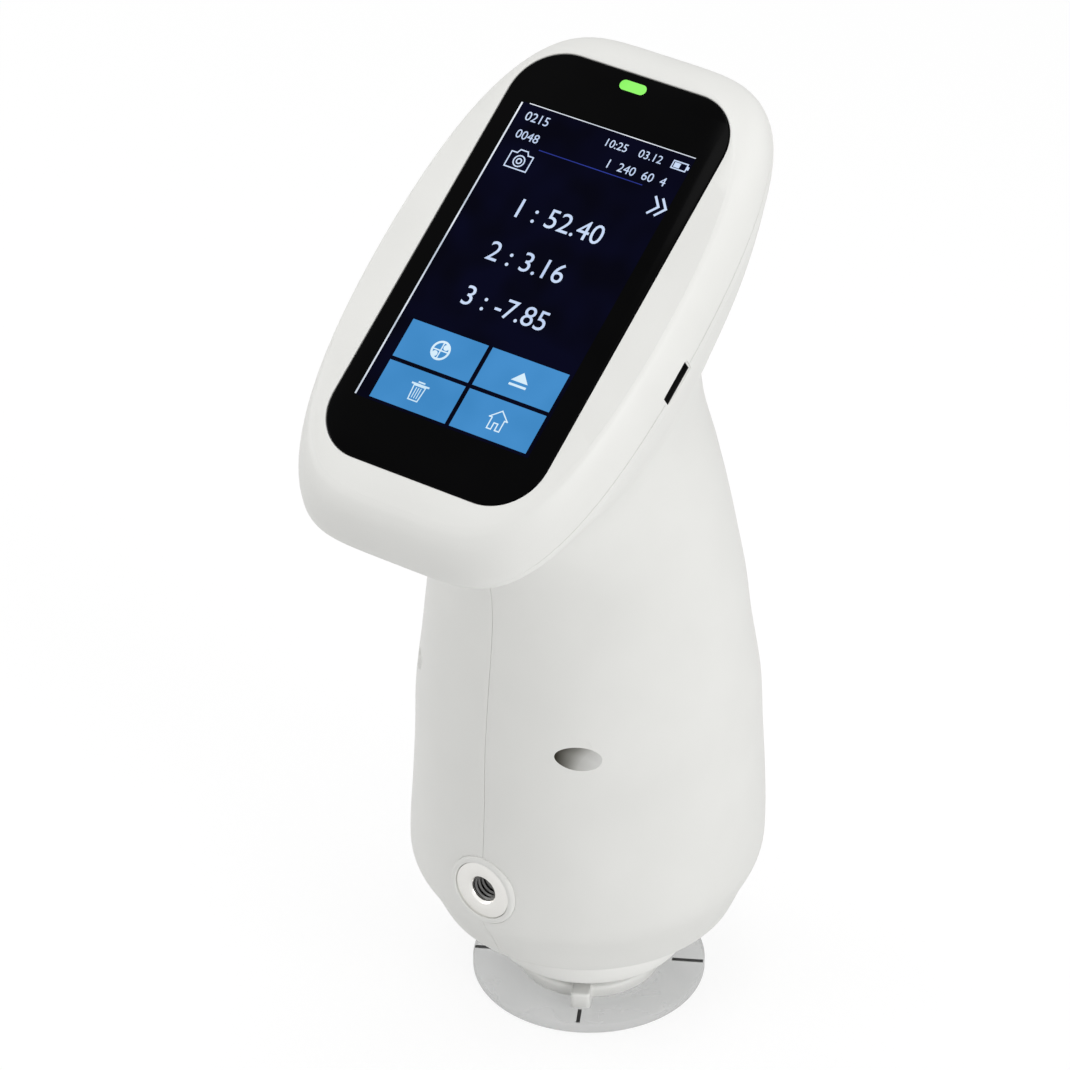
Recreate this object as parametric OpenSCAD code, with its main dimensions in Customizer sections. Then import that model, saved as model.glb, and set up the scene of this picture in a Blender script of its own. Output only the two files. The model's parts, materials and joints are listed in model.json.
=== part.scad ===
// Hand-held sphere colorimeter standing on its clear locating disc.
// Origin: centre of the disc's underside. The user stands on the -Y side. Sizes in mm.

/* [Head] */
// Angle between the screen and the table
head_tilt = 34.8; // [30:0.1:40]
// Distance of the screen's centre in front of the port axis
face_fore = 25.7; // [22:0.1:30]
// Height of the screen's centre
face_z = 200.6; // [190:0.1:210]
// Width of the head at its parting line
head_w = 80; // [76:0.1:84]
// Reach of the head below the screen's centre
head_low = 67.7; // [64:0.1:72]
// Reach of the head above the screen's centre
head_high = 62.6; // [60:0.1:68]
// Depth of the parting line behind the glass
parting_d = 10; // [9:0.1:12]

/* [Screen] */
// Visible width of the liquid-crystal screen
lcd_w = 45.8; // [42:0.1:48]
// Visible height of the liquid-crystal screen
lcd_h = 76.3; // [70:0.1:80]
// Width of the cover glass
glass_w = 56.1; // [52:0.1:58]
// Height of the cover glass
glass_h = 104.3; // [100:0.1:106]
// Corner radius of the cover glass
glass_r = 12.1; // [8:0.1:14]
// Thickness of the cover glass
glass_t = 1.1; // [0.8:0.1:1.2]

/* [Body] */
// Largest width of the body
body_w = 81.4; // [79:0.1:84]
// Height of the body's lower edge
body_foot_z = 24.5; // [24:0.1:25]
// Wall thickness of the shells
wall = 2.2; // [2:0.1:2.6]

/* [Measuring port] */
// Diameter of the measuring aperture
aperture_d = 8; // [4:1:8]
// Inner radius of the integrating sphere
sphere_r = 20; // [18:0.5:20]
// Height of the sphere's centre
sphere_z = 30; // [30:0.5:31]
// Radius of the aperture ring
ring_r = 14.2; // [13.8:0.1:14.6]

/* [Locator] */
// Radius of the clear locating disc
disc_r = 27.6; // [26:0.1:30]
// Thickness of the clear locating disc
disc_t = 2.5; // [2:0.1:2.6]
// Outer radius of the white collar
collar_r = 17; // [16.8:0.1:18]
// How far the pointer is turned from the front towards the right
pointer_angle = 29; // [0:1:45]

/* [Tripod socket] */
// Height of the socket's axis
socket_z = 47.5; // [46:0.1:50]
// Radius of the socket's plain bore, for a quarter-inch camera screw
socket_bore_r = 3.13; // [3:0.01:3.3]

/* [Controls] */
// Width of the measuring button
button_w = 12; // [10:0.5:14]
// Height of the measuring button
button_h = 22; // [18:0.5:24]
// Height of the measuring button's centre
button_z = 138; // [136:0.5:140]
// Height of the power switch's centre
switch_z = 104; // [100:0.5:108]

/* [Hidden] */

$fn = 64;
shell_white = [0.93, 0.93, 0.91];
board_green = [0.10, 0.36, 0.22];

// Where a point t above the screen's centre and d behind the glass lies
function head_y(t, d) = -face_fore + t * cos(head_tilt) + d * sin(head_tilt);
function head_z(t, d) = face_z + t * sin(head_tilt) - d * cos(head_tilt);

// A station is a cross-section: its front and back points, half width, squareness,
// barrel bulge, and how far its inner side is lifted off the outer one
function flat_station(z, half, front, back) =
    [front, z, back, z, half * body_w / 81.4, 2, 0, 0];
function lean_station(front, back, half, square, bulge, lift) =
    [front[0], front[1], back[0], back[1], half, square, bulge, lift];
function head_station(d, in_side, in_low, in_high, square) =
    [head_y(-head_low + in_low, d), head_z(-head_low + in_low, d),
     head_y(head_high - in_high, d), head_z(head_high - in_high, d),
     head_w / 2 - in_side, square, 0.19, 0];

rim_gap = 0.3;
body_stations = [
    flat_station(body_foot_z, 34.2, -35.6, 34.8),
    flat_station(25.4, 34.9, -36.3, 35.5),
    flat_station(31.4, 37.4, -39.3, 37.9),
    flat_station(38.2, 40.4, -43.1, 41.3),
    flat_station(45.0, 40.7, -43.7, 42.3),
    flat_station(57.0, 40.1, -43.0, 42.2),
    flat_station(71.0, 39.4, -42.3, 41.2),
    flat_station(84.0, 38.9, -42.0, 40.2),
    flat_station(99.0, 36.9, -40.7, 37.6),
    lean_station([-39.4, 110.5], [35.6, 111.5], 35.7, 2, 0, 0),
    lean_station([-38.8, 119.5], [33.2, 123.0], 34.2, 2, 0, 0.3),
    lean_station([-39.4, 127.0], [30.6, 135.0], 32.6, 2.02, 0, 0.8),
    lean_station([-41.6, 134.5], [27.3, 148.0], 30.7, 2.06, 0, 1.2),
    lean_station([-46.5, 141.5], [23.3, 162.5], 28.2, 2.18, 0.01, 1.6),
    lean_station([-54.0, 146.2], [21.0, 178.0], 29.0, 2.4, 0.04, 1.8),
    lean_station([-62.5, 149.0], [23.9, 194.5], 33.6, 2.8, 0.09, 1.8),
    lean_station([-69.2, 150.8], [30.3, 211.0], 37.1, 3.6, 0.14, 1.2),
    head_station(13.6, 0.7, 1.5, 0.7, 4.6),
    head_station(12.0, 0.3, 0.7, 0.3, 4.8),
    head_station(parting_d + rim_gap, 0.2, 0.3, 0.2, 4.8)
];
cover_stations = [
    head_station(parting_d, 0, 0, 0, 4.8),
    head_station(7.5, 0.2, 0.9, 0.4, 4.8),
    head_station(5.0, 0.8, 2.4, 1.5, 4.8),
    head_station(2.5, 1.7, 4.6, 3.5, 4.7),
    head_station(0.7, 2.7, 7.1, 5.8, 4.6),
    head_station(0, 3.5, 9.0, 7.3, 4.5)
];

// A smooth curve through stations p1 and p2
function between(p0, p1, p2, p3, u) =
    0.5 * (2 * p1 + (p2 - p0) * u + (2 * p0 - 5 * p1 + 4 * p2 - p3) * u * u
    + (3 * p1 - p0 - 3 * p2 + p3) * u * u * u);
function smoothed(list, steps) = concat(
    [for (k = [0:len(list) - 2]) for (i = [0:steps - 1])
        between(list[max(k - 1, 0)], list[k], list[k + 1], list[min(k + 2, len(list) - 1)], i / steps)],
    [list[len(list) - 1]]);

// A point of a station at angle a, from the right side (0) by the back (90), set in by w
function signed_pow(v, e) = sign(v) * pow(abs(v), e);
function station_point(s, a, w) =
    let (
        half_y = (s[2] - s[0]) / 2,
        half_z = (s[3] - s[1]) / 2,
        reach = norm([half_y, half_z]),
        along = signed_pow(sin(a), 2 / s[5]),
        side = signed_pow(cos(a), 2 / s[5]),
        k = (reach - w) / reach * along,
        up = w > 0 ? s[7] : 0)
    [(s[4] - w) * (1 - s[6] * pow(along, 2)) * side,
     (s[0] + s[2]) / 2 + half_y * k - up * half_z / reach,
     (s[1] + s[3]) / 2 + half_z * k + up * half_y / reach];

// A closed skin through rings that come back to the first one
module closed_skin(rings) {
    n = len(rings[0]);
    count = len(rings);
    sides = [for (k = [0:count - 1]) for (i = [0:n - 1])
        [k * n + i, ((k + 1) % count) * n + i, ((k + 1) % count) * n + (i + 1) % n, k * n + (i + 1) % n]];
    polyhedron([for (r = rings) each r], sides);
}

// The right half of the body's wall, cut at x = 0
half_steps = 20;
module half_wall() {
    stations = smoothed(body_stations, 2);
    n = 2 * (half_steps + 1);
    last = len(stations) - 1;
    angles = [for (j = [0:half_steps]) -90 + 180 * j / half_steps];
    points = [for (s = stations) each concat(
        [for (a = angles) station_point(s, a, 0)],
        [for (j = [half_steps:-1:0]) station_point(s, angles[j], wall)])];
    sides = [for (k = [0:last - 1]) for (i = [0:n - 1])
        [k * n + i, (k + 1) * n + i, (k + 1) * n + (i + 1) % n, k * n + (i + 1) % n]];
    low_rim = [for (j = [0:half_steps - 1]) [j, j + 1, n - 2 - j, n - 1 - j]];
    high_rim = [for (j = [0:half_steps - 1])
        [last * n + j + 1, last * n + j, last * n + n - 1 - j, last * n + n - 2 - j]];
    polyhedron(points, concat(sides, low_rim, high_rim));
}

// A place on the screen's plane: x right, y up the screen, z out of the glass
module on_face() {
    translate([0, -face_fore, face_z]) rotate([head_tilt, 0, 0]) children();
}

// A slab with round corners, from z = 0 upwards
module slab(w, h, r, t) {
    translate([-w / 2 + r, -h / 2, 0]) cube([w - 2 * r, h, t]);
    translate([-w / 2, -h / 2 + r, 0]) cube([w, h - 2 * r, t]);
    for (x = [-1, 1]) for (y = [-1, 1])
        translate([x * (w / 2 - r), y * (h / 2 - r), 0]) cylinder(r = r, h = t);
}

// A pill of width w and height h, from z = 0 upwards
module pill(w, h, t) {
    translate([-w / 2, -(h - w) / 2, 0]) cube([w, h - w, t]);
    for (y = [-1, 1]) translate([0, y * (h - w) / 2, 0]) cylinder(r = w / 2, h = t);
}

// Head
glass_up = 0.6;
ledge_z = -glass_t - 0.15;
roof_d = 2.4;
window_w = 52;
window_h = 101.6;
window_r = 10;
boss_x = 28.5;
boss_y = 36;
frame_z = -4.6;
board_z = -8.3;
board_t = 1.2;
light_y = 49.6;
usb_y = -7.8;
usb_w = 8.94;
usb_t = 3.2;
usb_mouth_x = 38.4;
usb_z = board_z - usb_t / 2;

module display_bosses(r, h, z) {
    for (x = [-1, 1]) for (y = [-1, 1])
        translate([x * boss_x, y * boss_y, z]) cylinder(r = r, h = h);
}

module usb_opening() {
    on_face() translate([usb_mouth_x - 4, usb_y - 5.2, usb_z - 1.8]) cube([12, 10.4, 3.6]);
}

// Rings round the cover: 13 points a quadrant, on a station or on a round-cornered window
quadrant_steps = 12;
function cover_ring(s, w) = [for (q = [0:3]) for (i = [0:quadrant_steps])
    station_point(s, 90 * q + 1 + 88 * i / quadrant_steps, w)];
function window_ring(w, h, r, d) = [for (q = [0:3]) for (i = [0:quadrant_steps])
    let (
        a = 90 * (q + i / quadrant_steps),
        corner_x = (w / 2 - r) * sign(cos(90 * q + 45)),
        corner_y = (h / 2 - r) * sign(sin(90 * q + 45)),
        t = glass_up + corner_y + r * sin(a))
    [corner_x + r * cos(a), head_y(t, d), head_z(t, d)]];

// Tabs that hook behind the shells' rim
module snap_tabs() {
    for (x = [-1, 1]) translate([x * 35.5 - 0.7, 5, -13]) cube([1.4, 10, 10]);
    translate([-5, -63.1, -13]) cube([10, 1.4, 9.2]);
    translate([-5, 57.8, -13]) cube([10, 1.4, 9.2]);
}

module head_front_cover() {
    rings = concat(
        [for (s = cover_stations) cover_ring(s, 0)],
        [
            window_ring(glass_w + 0.3, glass_h + 0.3, glass_r + 0.15, 0),
            window_ring(glass_w + 0.3, glass_h + 0.3, glass_r + 0.15, -ledge_z),
            window_ring(window_w, window_h, window_r, -ledge_z),
            window_ring(window_w, window_h, window_r, roof_d),
            cover_ring(head_station(roof_d, 2.2, 5.9, 4.6, 4.7), wall),
            cover_ring(head_station(5.0, 0.8, 2.4, 1.5, 4.8), wall),
            cover_ring(head_station(parting_d, 0, 0, 0, 4.8), wall)
        ]);
    color(shell_white) difference() {
        union() {
            closed_skin(rings);
            on_face() display_bosses(2.2, -frame_z - roof_d + 0.5, frame_z);
            on_face() snap_tabs();
        }
        on_face() display_bosses(0.9, -frame_z - roof_d - 0.1, frame_z - 0.1);
        usb_opening();
    }
}

module touch_glass() {
    color([0.02, 0.02, 0.025]) on_face() translate([0, glass_up, -glass_t])
        slab(glass_w, glass_h, glass_r, glass_t);
}

module lcd_panel() {
    color([0.03, 0.04, 0.12]) on_face() translate([-(lcd_w + 3) / 2, -(lcd_h + 5) / 2, -2.6])
        cube([lcd_w + 3, lcd_h + 5, 1.35]);
}

module lcd_backlight() {
    color([0.90, 0.92, 0.95]) on_face() translate([-(lcd_w + 3.6) / 2, -(lcd_h + 6) / 2, frame_z])
        cube([lcd_w + 3.6, lcd_h + 6, 2]);
}

module display_frame() {
    color([0.72, 0.73, 0.75]) on_face() difference() {
        translate([0, 0, frame_z - 0.8]) slab(62, 80, 3, 0.8);
        translate([0, 0, frame_z - 1]) slab(36, 60, 3, 1.2);
        display_bosses(1.2, 2, frame_z - 1.5);
    }
}

module display_spacers() {
    color([0.80, 0.81, 0.83]) on_face() difference() {
        display_bosses(2.2, frame_z - 0.8 - board_z - board_t, board_z + board_t);
        display_bosses(1.2, 4, board_z);
    }
}

module display_board() {
    color(board_green) on_face() difference() {
        translate([0, 0, board_z]) union() {
            slab(62, 80, 3, board_t);
            translate([-8, 38, 0]) cube([16, 14.5, board_t]);
            translate([28, usb_y - 6, 0]) cube([8.2, 12, board_t]);
        }
        display_bosses(1.2, 2, board_z - 0.5);
    }
}

module display_screws() {
    color([0.62, 0.63, 0.65]) on_face() {
        display_bosses(0.85, -board_z - roof_d - 1.0, board_z - 0.1);
        difference() {
            display_bosses(2, 1.3, board_z - 1.3);
            for (x = [-1, 1]) for (y = [-1, 1])
                translate([x * boss_x - 1.4, y * boss_y - 0.2, board_z - 1.5]) cube([2.8, 0.4, 0.8]);
        }
    }
}

module status_led() {
    color([0.85, 0.95, 0.80]) on_face() translate([-1.75, light_y - 1.4, board_z + board_t])
        cube([3.5, 2.8, 1.9]);
}

module status_light_guide() {
    guide_low = board_z + board_t + 2;
    color([0.45, 0.95, 0.25]) on_face() translate([-0.2, light_y, guide_low]) rotate([0, 0, 90])
        pill(2.5, 6.8, ledge_z + 0.1 - guide_low);
}

module usb_receptacle() {
    color([0.70, 0.71, 0.73]) on_face() translate([usb_mouth_x, usb_y, usb_z]) rotate([0, -90, 0])
        difference() {
            pill(usb_t, usb_w, 8);
            translate([0, 0, -1]) pill(usb_t - 0.6, usb_w - 0.6, 7.6);
        }
}

module usb_tongue() {
    color([0.08, 0.08, 0.09]) on_face()
        translate([usb_mouth_x - 6.6, usb_y - 3.3, usb_z - 0.35]) cube([6, 6.6, 0.7]);
}

// Body shells
// Each screw boss: its y and z, the outer wall's x there, and the boss's length
screw_places = [
    [26, 54, 31.8, 27.4],
    [-28, 92, 28.4, 24.1],
    [8, 188, 30.1, 27.2]
];
socket_y = -43.1;
bezel_r = 8.75;
recess_start = [11.29, -36.47, 88.46];
recess_turn = 9.2;
recess_angle = 26;

function button_place() = [0, 30.15, button_z];
button_lean = 13.8;

module on_button() {
    translate(button_place()) rotate([button_lean - 90, 0, 0]) rotate([0, 0, 180]) children();
}

module socket_hole() {
    translate([0, socket_y - 3, socket_z]) rotate([-90, 0, 0]) cylinder(r = bezel_r + 0.05, h = 9);
}

module button_hole() {
    on_button() translate([0, 0, -8]) pill(button_w + 0.6, button_h + 0.6, 14);
}

// An almond hollow, deep and slightly undercut at its pointed end and running out at the other:
// a spindle that starts under the wall and leans out of it
module spindle(half_length, r) {
    arc_r = (half_length * half_length + r * r) / (2 * r);
    rotate_extrude() intersection() {
        translate([r - arc_r, 0]) circle(r = arc_r, $fn = 128);
        translate([0, -arc_r]) square([arc_r, 2 * arc_r]);
    }
}

module thumb_recess() {
    translate(recess_start) rotate([0, 4.2, recess_turn]) rotate([0, 90, 0])
        translate([0, 0, 9.5]) spindle(9.5, 3);
}

// A thicker place inside the wall, behind the hollow
module recess_pad() {
    rotate([0, 0, recess_angle]) translate([0, -40, 88]) rotate([-90, 0, 0]) cylinder(r = 7, h = 4.4);
}

module body_shell_right() {
    color(shell_white) difference() {
        union() {
            half_wall();
            recess_pad();
            for (p = screw_places) translate([0.15, p[0], p[1]]) rotate([0, 90, 0])
                cylinder(r = 3.2, h = p[3]);
        }
        for (p = screw_places) translate([-1, p[0], p[1]]) rotate([0, 90, 0])
            cylinder(r = 1.3, h = 13);
        socket_hole();
        button_hole();
        usb_opening();
        thumb_recess();
    }
}

module body_shell_left() {
    color(shell_white) difference() {
        union() {
            mirror([1, 0, 0]) half_wall();
            for (p = screw_places) translate([-p[3] - 0.15, p[0], p[1]]) rotate([0, 90, 0])
                cylinder(r = 3.6, h = p[3]);
        }
        for (p = screw_places) {
            translate([-10, p[0], p[1]]) rotate([0, 90, 0]) cylinder(r = 1.4, h = 11);
            translate([-p[2] - 12, p[0], p[1]]) rotate([0, 90, 0]) cylinder(r = 2.5, h = p[2] + 4);
        }
        socket_hole();
        button_hole();
        translate([-45, -2.9, switch_z - 5.9]) cube([12, 5.8, 11.8]);
    }
}

module shell_screws() {
    color([0.62, 0.63, 0.65]) for (p = screw_places) difference() {
        translate([-10, p[0], p[1]]) rotate([0, 90, 0]) union() {
            cylinder(r = 1.2, h = 20);
            cylinder(r = 2.3, h = 1.8);
        }
        translate([-10.5, p[0] - 1.6, p[1] - 0.3]) cube([1.3, 3.2, 0.6]);
    }
}

module shell_screw_plugs() {
    color(shell_white) for (p = screw_places)
        translate([-p[2] + 1.2, p[0], p[1]]) rotate([0, 90, 0]) cylinder(r = 2.45, h = 3);
}

module tripod_socket_bezel() {
    color(shell_white) translate([0, socket_y - 0.7, socket_z]) rotate([-90, 0, 0]) difference() {
        union() {
            cylinder(r1 = bezel_r - 0.6, r2 = bezel_r, h = 0.6);
            translate([0, 0, 0.6]) cylinder(r = bezel_r, h = 5);
            translate([0, 0, 5.6]) cylinder(r = bezel_r - 1.2, h = 6);
        }
        translate([0, 0, -1]) cylinder(r = 7.35, h = 2.8);
        translate([0, 0, 1]) cylinder(r = 5.55, h = 12);
    }
}

module tripod_insert() {
    color([0.75, 0.75, 0.73]) translate([0, socket_y, socket_z]) rotate([-90, 0, 0]) difference() {
        union() {
            translate([0, 0, -0.3]) cylinder(r = 7.25, h = 1.35);
            cylinder(r = 5.5, h = 11.5);
        }
        translate([0, 0, -1]) cylinder(r = socket_bore_r, h = 11);
        translate([0, 0, -0.35]) cylinder(r1 = socket_bore_r + 0.5, r2 = socket_bore_r, h = 0.5);
    }
}

// Measuring port and sphere
plate_r = 32.4;
plate_y = -0.5;
plate_z = 26.2;
flange_low = 10.8;
sphere_out = sphere_r + 3;
seat_r = sphere_out + 7;
screw_ring_r = 26.4;

// Four places round the sphere's seat where the chassis is screwed down
module seat_places() {
    for (a = [45, 135, 225, 315]) rotate([0, 0, a]) translate([27.8, 0, 0]) children();
}

module port_plate() {
    color(shell_white) difference() {
        translate([0, plate_y, plate_z]) cylinder(r = plate_r, h = 2.4);
        translate([0, 0, plate_z - 1]) cylinder(r = sphere_out + 0.2, h = 5);
        for (a = [30, 150, 270]) rotate([0, 0, a])
            translate([screw_ring_r, 0, plate_z - 1]) cylinder(r = 0.95, h = 3);
    }
}

module port_flange() {
    color(shell_white) difference() {
        rotate_extrude() polygon([
            [14, flange_low], [22.6, flange_low], [23.2, flange_low + 0.5], [23.4, flange_low + 1.4],
            [24.0, 14.8], [24.4, 22], [29.6, 22.4], [29.6, plate_z], [14, plate_z]
        ]);
        translate([0, 0, sphere_z]) sphere(r = sphere_out + 0.2);
        translate([0, 0, flange_low - 1]) cylinder(r = ring_r + 0.1, h = 8);
        for (a = [30, 150, 270]) rotate([0, 0, a])
            translate([screw_ring_r, 0, 20]) cylinder(r = 1.1, h = 8);
    }
}

module port_screws() {
    color([0.62, 0.63, 0.65]) for (a = [30, 150, 270]) rotate([0, 0, a])
        translate([screw_ring_r, 0, 20.9]) difference() {
            union() {
                cylinder(r = 1.8, h = 1.05);
                cylinder(r = 0.9, h = 7);
            }
            translate([-1.2, -0.2, -0.5]) cube([2.4, 0.4, 1.1]);
        }
}

module aperture_ring() {
    color([0.12, 0.12, 0.13]) difference() {
        union() {
            translate([0, 0, 3.6]) cylinder(r = ring_r, h = 8.2);
            cylinder(r = 7, h = 3.7);
        }
        translate([0, 0, sphere_z]) sphere(r = sphere_out + 0.05);
        translate([0, 0, -1]) cylinder(r = aperture_d / 2, h = 14);
        translate([0, 0, 1.2]) cylinder(r1 = aperture_d / 2, r2 = aperture_d / 2 + 2, h = 8);
    }
}

module sphere_lower() {
    color([0.96, 0.96, 0.96]) difference() {
        union() {
            translate([0, 0, sphere_z]) sphere(r = sphere_out);
            translate([0, 0, sphere_z - 1.4]) cylinder(r = seat_r, h = 1.4);
        }
        translate([0, 0, sphere_z]) sphere(r = sphere_r);
        translate([0, 0, sphere_z]) cylinder(r = seat_r + 2, h = sphere_out + 6);
        cylinder(r = 6.5, h = 14);
        seat_places() translate([0, 0, sphere_z - 2]) cylinder(r = 0.95, h = 3);
    }
}

module tilted_port(a, r) {
    translate([0, 0, sphere_z]) rotate([a, 0, 0]) cylinder(r = r, h = sphere_out + 6);
}

led_count = 8;
led_ring_r = 19.6;
led_board_z = 46;

module sphere_upper() {
    color([0.96, 0.96, 0.96]) difference() {
        union() {
            translate([0, 0, sphere_z]) sphere(r = sphere_out);
            translate([0, 0, sphere_z]) cylinder(r = seat_r, h = 1.4);
        }
        translate([0, 0, sphere_z]) sphere(r = sphere_r);
        translate([0, 0, sphere_z - sphere_out - 6]) cylinder(r = seat_r + 2, h = sphere_out + 6);
        seat_places() translate([0, 0, sphere_z - 1]) cylinder(r = 0.95, h = 3);
        tilted_port(16, 4.05);
        tilted_port(-16, 4.05);
        translate([0, 0, sphere_z]) rotate([0, 24, 0]) cylinder(r = 3.05, h = 30);
        for (i = [0:led_count - 1]) rotate([0, 0, (i + 0.5) * 360 / led_count])
            translate([0, 0, sphere_z]) rotate([0, 50, 0]) cylinder(r = 1.3, h = 30);
    }
}

module sphere_baffle() {
    color([0.97, 0.97, 0.97]) difference() {
        translate([0, 0, sphere_z + 6]) cylinder(r = 18.7, h = 0.8);
        translate([0, 0, sphere_z + 5]) cylinder(r = 11.5, h = 3);
    }
}

module illuminant_board() {
    color([0.95, 0.95, 0.93]) difference() {
        translate([0, 0, led_board_z]) cylinder(r = 28.8, h = 1.6);
        translate([0, 0, led_board_z - 1]) cylinder(r = 17.2, h = 4);
        translate([-8, -32, led_board_z - 1]) cube([16, 5, 4]);
    }
}

module illuminant_leds() {
    color([0.95, 0.90, 0.60]) for (i = [0:led_count - 1]) rotate([0, 0, (i + 0.5) * 360 / led_count])
        translate([led_ring_r, 0, led_board_z - 1.5]) cylinder(r = 1.2, h = 1.5);
}

module specular_trap() {
    color([0.05, 0.05, 0.05]) translate([0, 0, sphere_z]) rotate([-16, 0, 0]) difference() {
        translate([0, 0, sphere_out - 0.1]) cylinder(r = 6, h = 8);
        translate([0, 0, sphere_out - 1]) cylinder(r1 = 4, r2 = 2, h = 7.5);
    }
}

module lens_barrel() {
    color([0.10, 0.10, 0.11]) translate([0, 0, sphere_z]) rotate([16, 0, 0]) difference() {
        translate([0, 0, sphere_out + 0.1]) cylinder(r = 5.5, h = 6.3);
        translate([0, 0, sphere_out - 1]) cylinder(r = 4, h = 9);
    }
}

module collecting_lens() {
    color([0.70, 0.80, 0.85]) translate([0, 0, sphere_z]) rotate([16, 0, 0]) intersection() {
        translate([0, 0, sphere_out + 2]) cylinder(r = 3.95, h = 3);
        translate([0, 0, sphere_out - 5.5]) sphere(r = 10);
    }
}

module camera_module() {
    color([0.10, 0.10, 0.12]) translate([0, 0, sphere_z]) rotate([0, 24, 0]) {
        translate([0, 0, sphere_out + 0.2]) cylinder(r = 3.8, h = 4);
        translate([-4.5, -4.5, sphere_out + 4.2]) cube([9, 9, 2]);
    }
}

// Frame, optics and electronics above the sphere
deck_z = 62;
spine_y = 13.5;

module chassis() {
    color([0.30, 0.31, 0.33]) difference() {
        union() {
            translate([0, 0, sphere_z + 1.4]) cylinder(r = 32, h = 2.4);
            for (x = [-1, 1]) translate([x * 30.6 - 1.6, -7, sphere_z + 3])
                cube([3.2, 14, deck_z - sphere_z - 2]);
            intersection() {
                translate([0, -1, deck_z]) cylinder(r = 33, h = 2.2);
                translate([-33, -27, deck_z - 1]) cube([66, 54, 5]);
            }
            translate([-15, spine_y, deck_z + 1]) cube([30, 2.4, 92]);
        }
        translate([0, 0, sphere_z]) cylinder(r = 25.2, h = 5);
        translate([0, -9, deck_z - 1]) cylinder(r = 8.5, h = 5);
        translate([-9, spine_y - 1, deck_z + 34]) cube([18, 5, 20]);
        seat_places() translate([0, 0, sphere_z]) cylinder(r = 0.95, h = 6);
    }
}

module chassis_screws() {
    color([0.62, 0.63, 0.65]) seat_places() translate([0, 0, sphere_z - 1.3]) {
        cylinder(r = 0.9, h = 6.2);
        translate([0, 0, 5.15]) cylinder(r = 1.6, h = 1.2);
    }
}

housing_z = deck_z + 2.2;

module spectrometer_housing() {
    color([0.09, 0.09, 0.10]) difference() {
        translate([-25, -25, housing_z]) cube([50, 34, 18]);
        translate([-23, -23, housing_z + 2]) cube([46, 30, 20]);
        translate([0, -9, housing_z - 1]) cylinder(r = 3, h = 4);
    }
}

module spectrometer_lid() {
    color([0.14, 0.14, 0.15]) translate([-25, -25, housing_z + 18]) cube([50, 34, 1.6]);
}

module concave_grating() {
    color([0.60, 0.62, 0.75]) difference() {
        translate([17, -18, housing_z + 2]) cube([6, 20, 14]);
        translate([-30, -8, housing_z + 1]) cylinder(r = 49, h = 16, $fn = 360);
    }
}

module line_sensor_board() {
    color(board_green) {
        translate([-22.6, -20, housing_z + 3]) cube([1.4, 26, 13]);
        translate([-21.2, -16, housing_z + 7]) cube([1.6, 18, 4]);
    }
}

module main_board() {
    color(board_green) difference() {
        translate([-20, spine_y - 4, 88]) cube([40, 1.6, 62]);
        for (x = [-1, 1]) for (z = [92, 146])
            translate([x * 17, spine_y - 5, z]) rotate([-90, 0, 0]) cylinder(r = 1.1, h = 4);
    }
    color([0.12, 0.12, 0.13]) for (z = [128, 138])
        translate([-16, spine_y - 5.6, z]) cube([11, 1.6, 7]);
    color([0.92, 0.90, 0.85]) translate([5, spine_y - 7, 130]) cube([9, 3, 12]);
}

module processor_shield() {
    color([0.75, 0.76, 0.78]) translate([-13, spine_y - 7, 98]) cube([26, 3, 24]);
}

module battery_pack() {
    color([0.20, 0.35, 0.60]) translate([-17, spine_y + 3, 66]) cube([34, 8.5, 58]);
}

module battery_strap() {
    color([0.10, 0.10, 0.10]) translate([0, 0, 92]) difference() {
        translate([-18.4, spine_y + 2.5, 0]) cube([36.8, 10.2, 8]);
        translate([-17.1, spine_y + 2, -1]) cube([34.2, 9.6, 10]);
    }
}

module buzzer() {
    color([0.08, 0.08, 0.08]) translate([0, spine_y - 7.5, 92.8]) rotate([-90, 0, 0])
        difference() {
            cylinder(r = 4.5, h = 3.5);
            translate([0, 0, -1]) cylinder(r = 0.8, h = 3);
        }
}

// Measuring button at the back of the neck
button_face = 1.2;
button_travel = 1;
board_drop = -9.6;

module button_bracket() {
    color([0.30, 0.31, 0.33]) intersection() {
        translate([-9, spine_y + 2.4, 127]) cube([18, 9, 22]);
        on_button() translate([-20, -20, board_drop - 32]) cube([40, 40, 30.7]);
    }
}

module button_board() {
    color(board_green) on_button() translate([-7.5, -9, board_drop - 1.2]) cube([15, 18, 1.2]);
}

module tact_switch() {
    color([0.15, 0.15, 0.16]) on_button() {
        translate([-3, -3, board_drop]) cube([6, 6, 3]);
        translate([0, 0, board_drop + 2.9]) cylinder(r = 1.7, h = 0.9);
    }
}

module measure_button() {
    color([0.42, 0.44, 0.46]) on_button() {
        translate([0, 0, -3.8]) pill(button_w, button_h, 3.8 + button_face);
        translate([0, 0, -4.5]) pill(button_w + 2.4, button_h + 2.4, 0.8);
        translate([0, 0, board_drop + 3.8 + button_travel + 0.1]) cylinder(r = 1.5, h = 1);
    }
}

// Power switch on the left flank
module power_switch_body() {
    color([0.15, 0.15, 0.16]) difference() {
        translate([-33.0, -3.2, switch_z - 6.2]) cube([4.6, 6.4, 12.4]);
        translate([-33.5, -1.3, switch_z - 3.9]) cube([1.5, 2.6, 7.8]);
    }
}

switch_travel = 3;
module power_switch_knob() {
    color([0.10, 0.10, 0.11]) translate([0, 0, switch_z - switch_travel / 2]) {
        translate([-36.6, -2.5, -3.4]) cube([3.4, 5.0, 6.8]);
        translate([-33.4, -1.0, -2.0]) cube([1.0, 2.0, 4.0]);
        for (i = [-1, 0, 1]) translate([-37.0, -2.2, i * 2 - 0.35]) cube([0.6, 4.4, 0.7]);
    }
}

// Locator that snaps round the aperture ring
pointer_w = 4.7;
pointer_r = 21.3;

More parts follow.
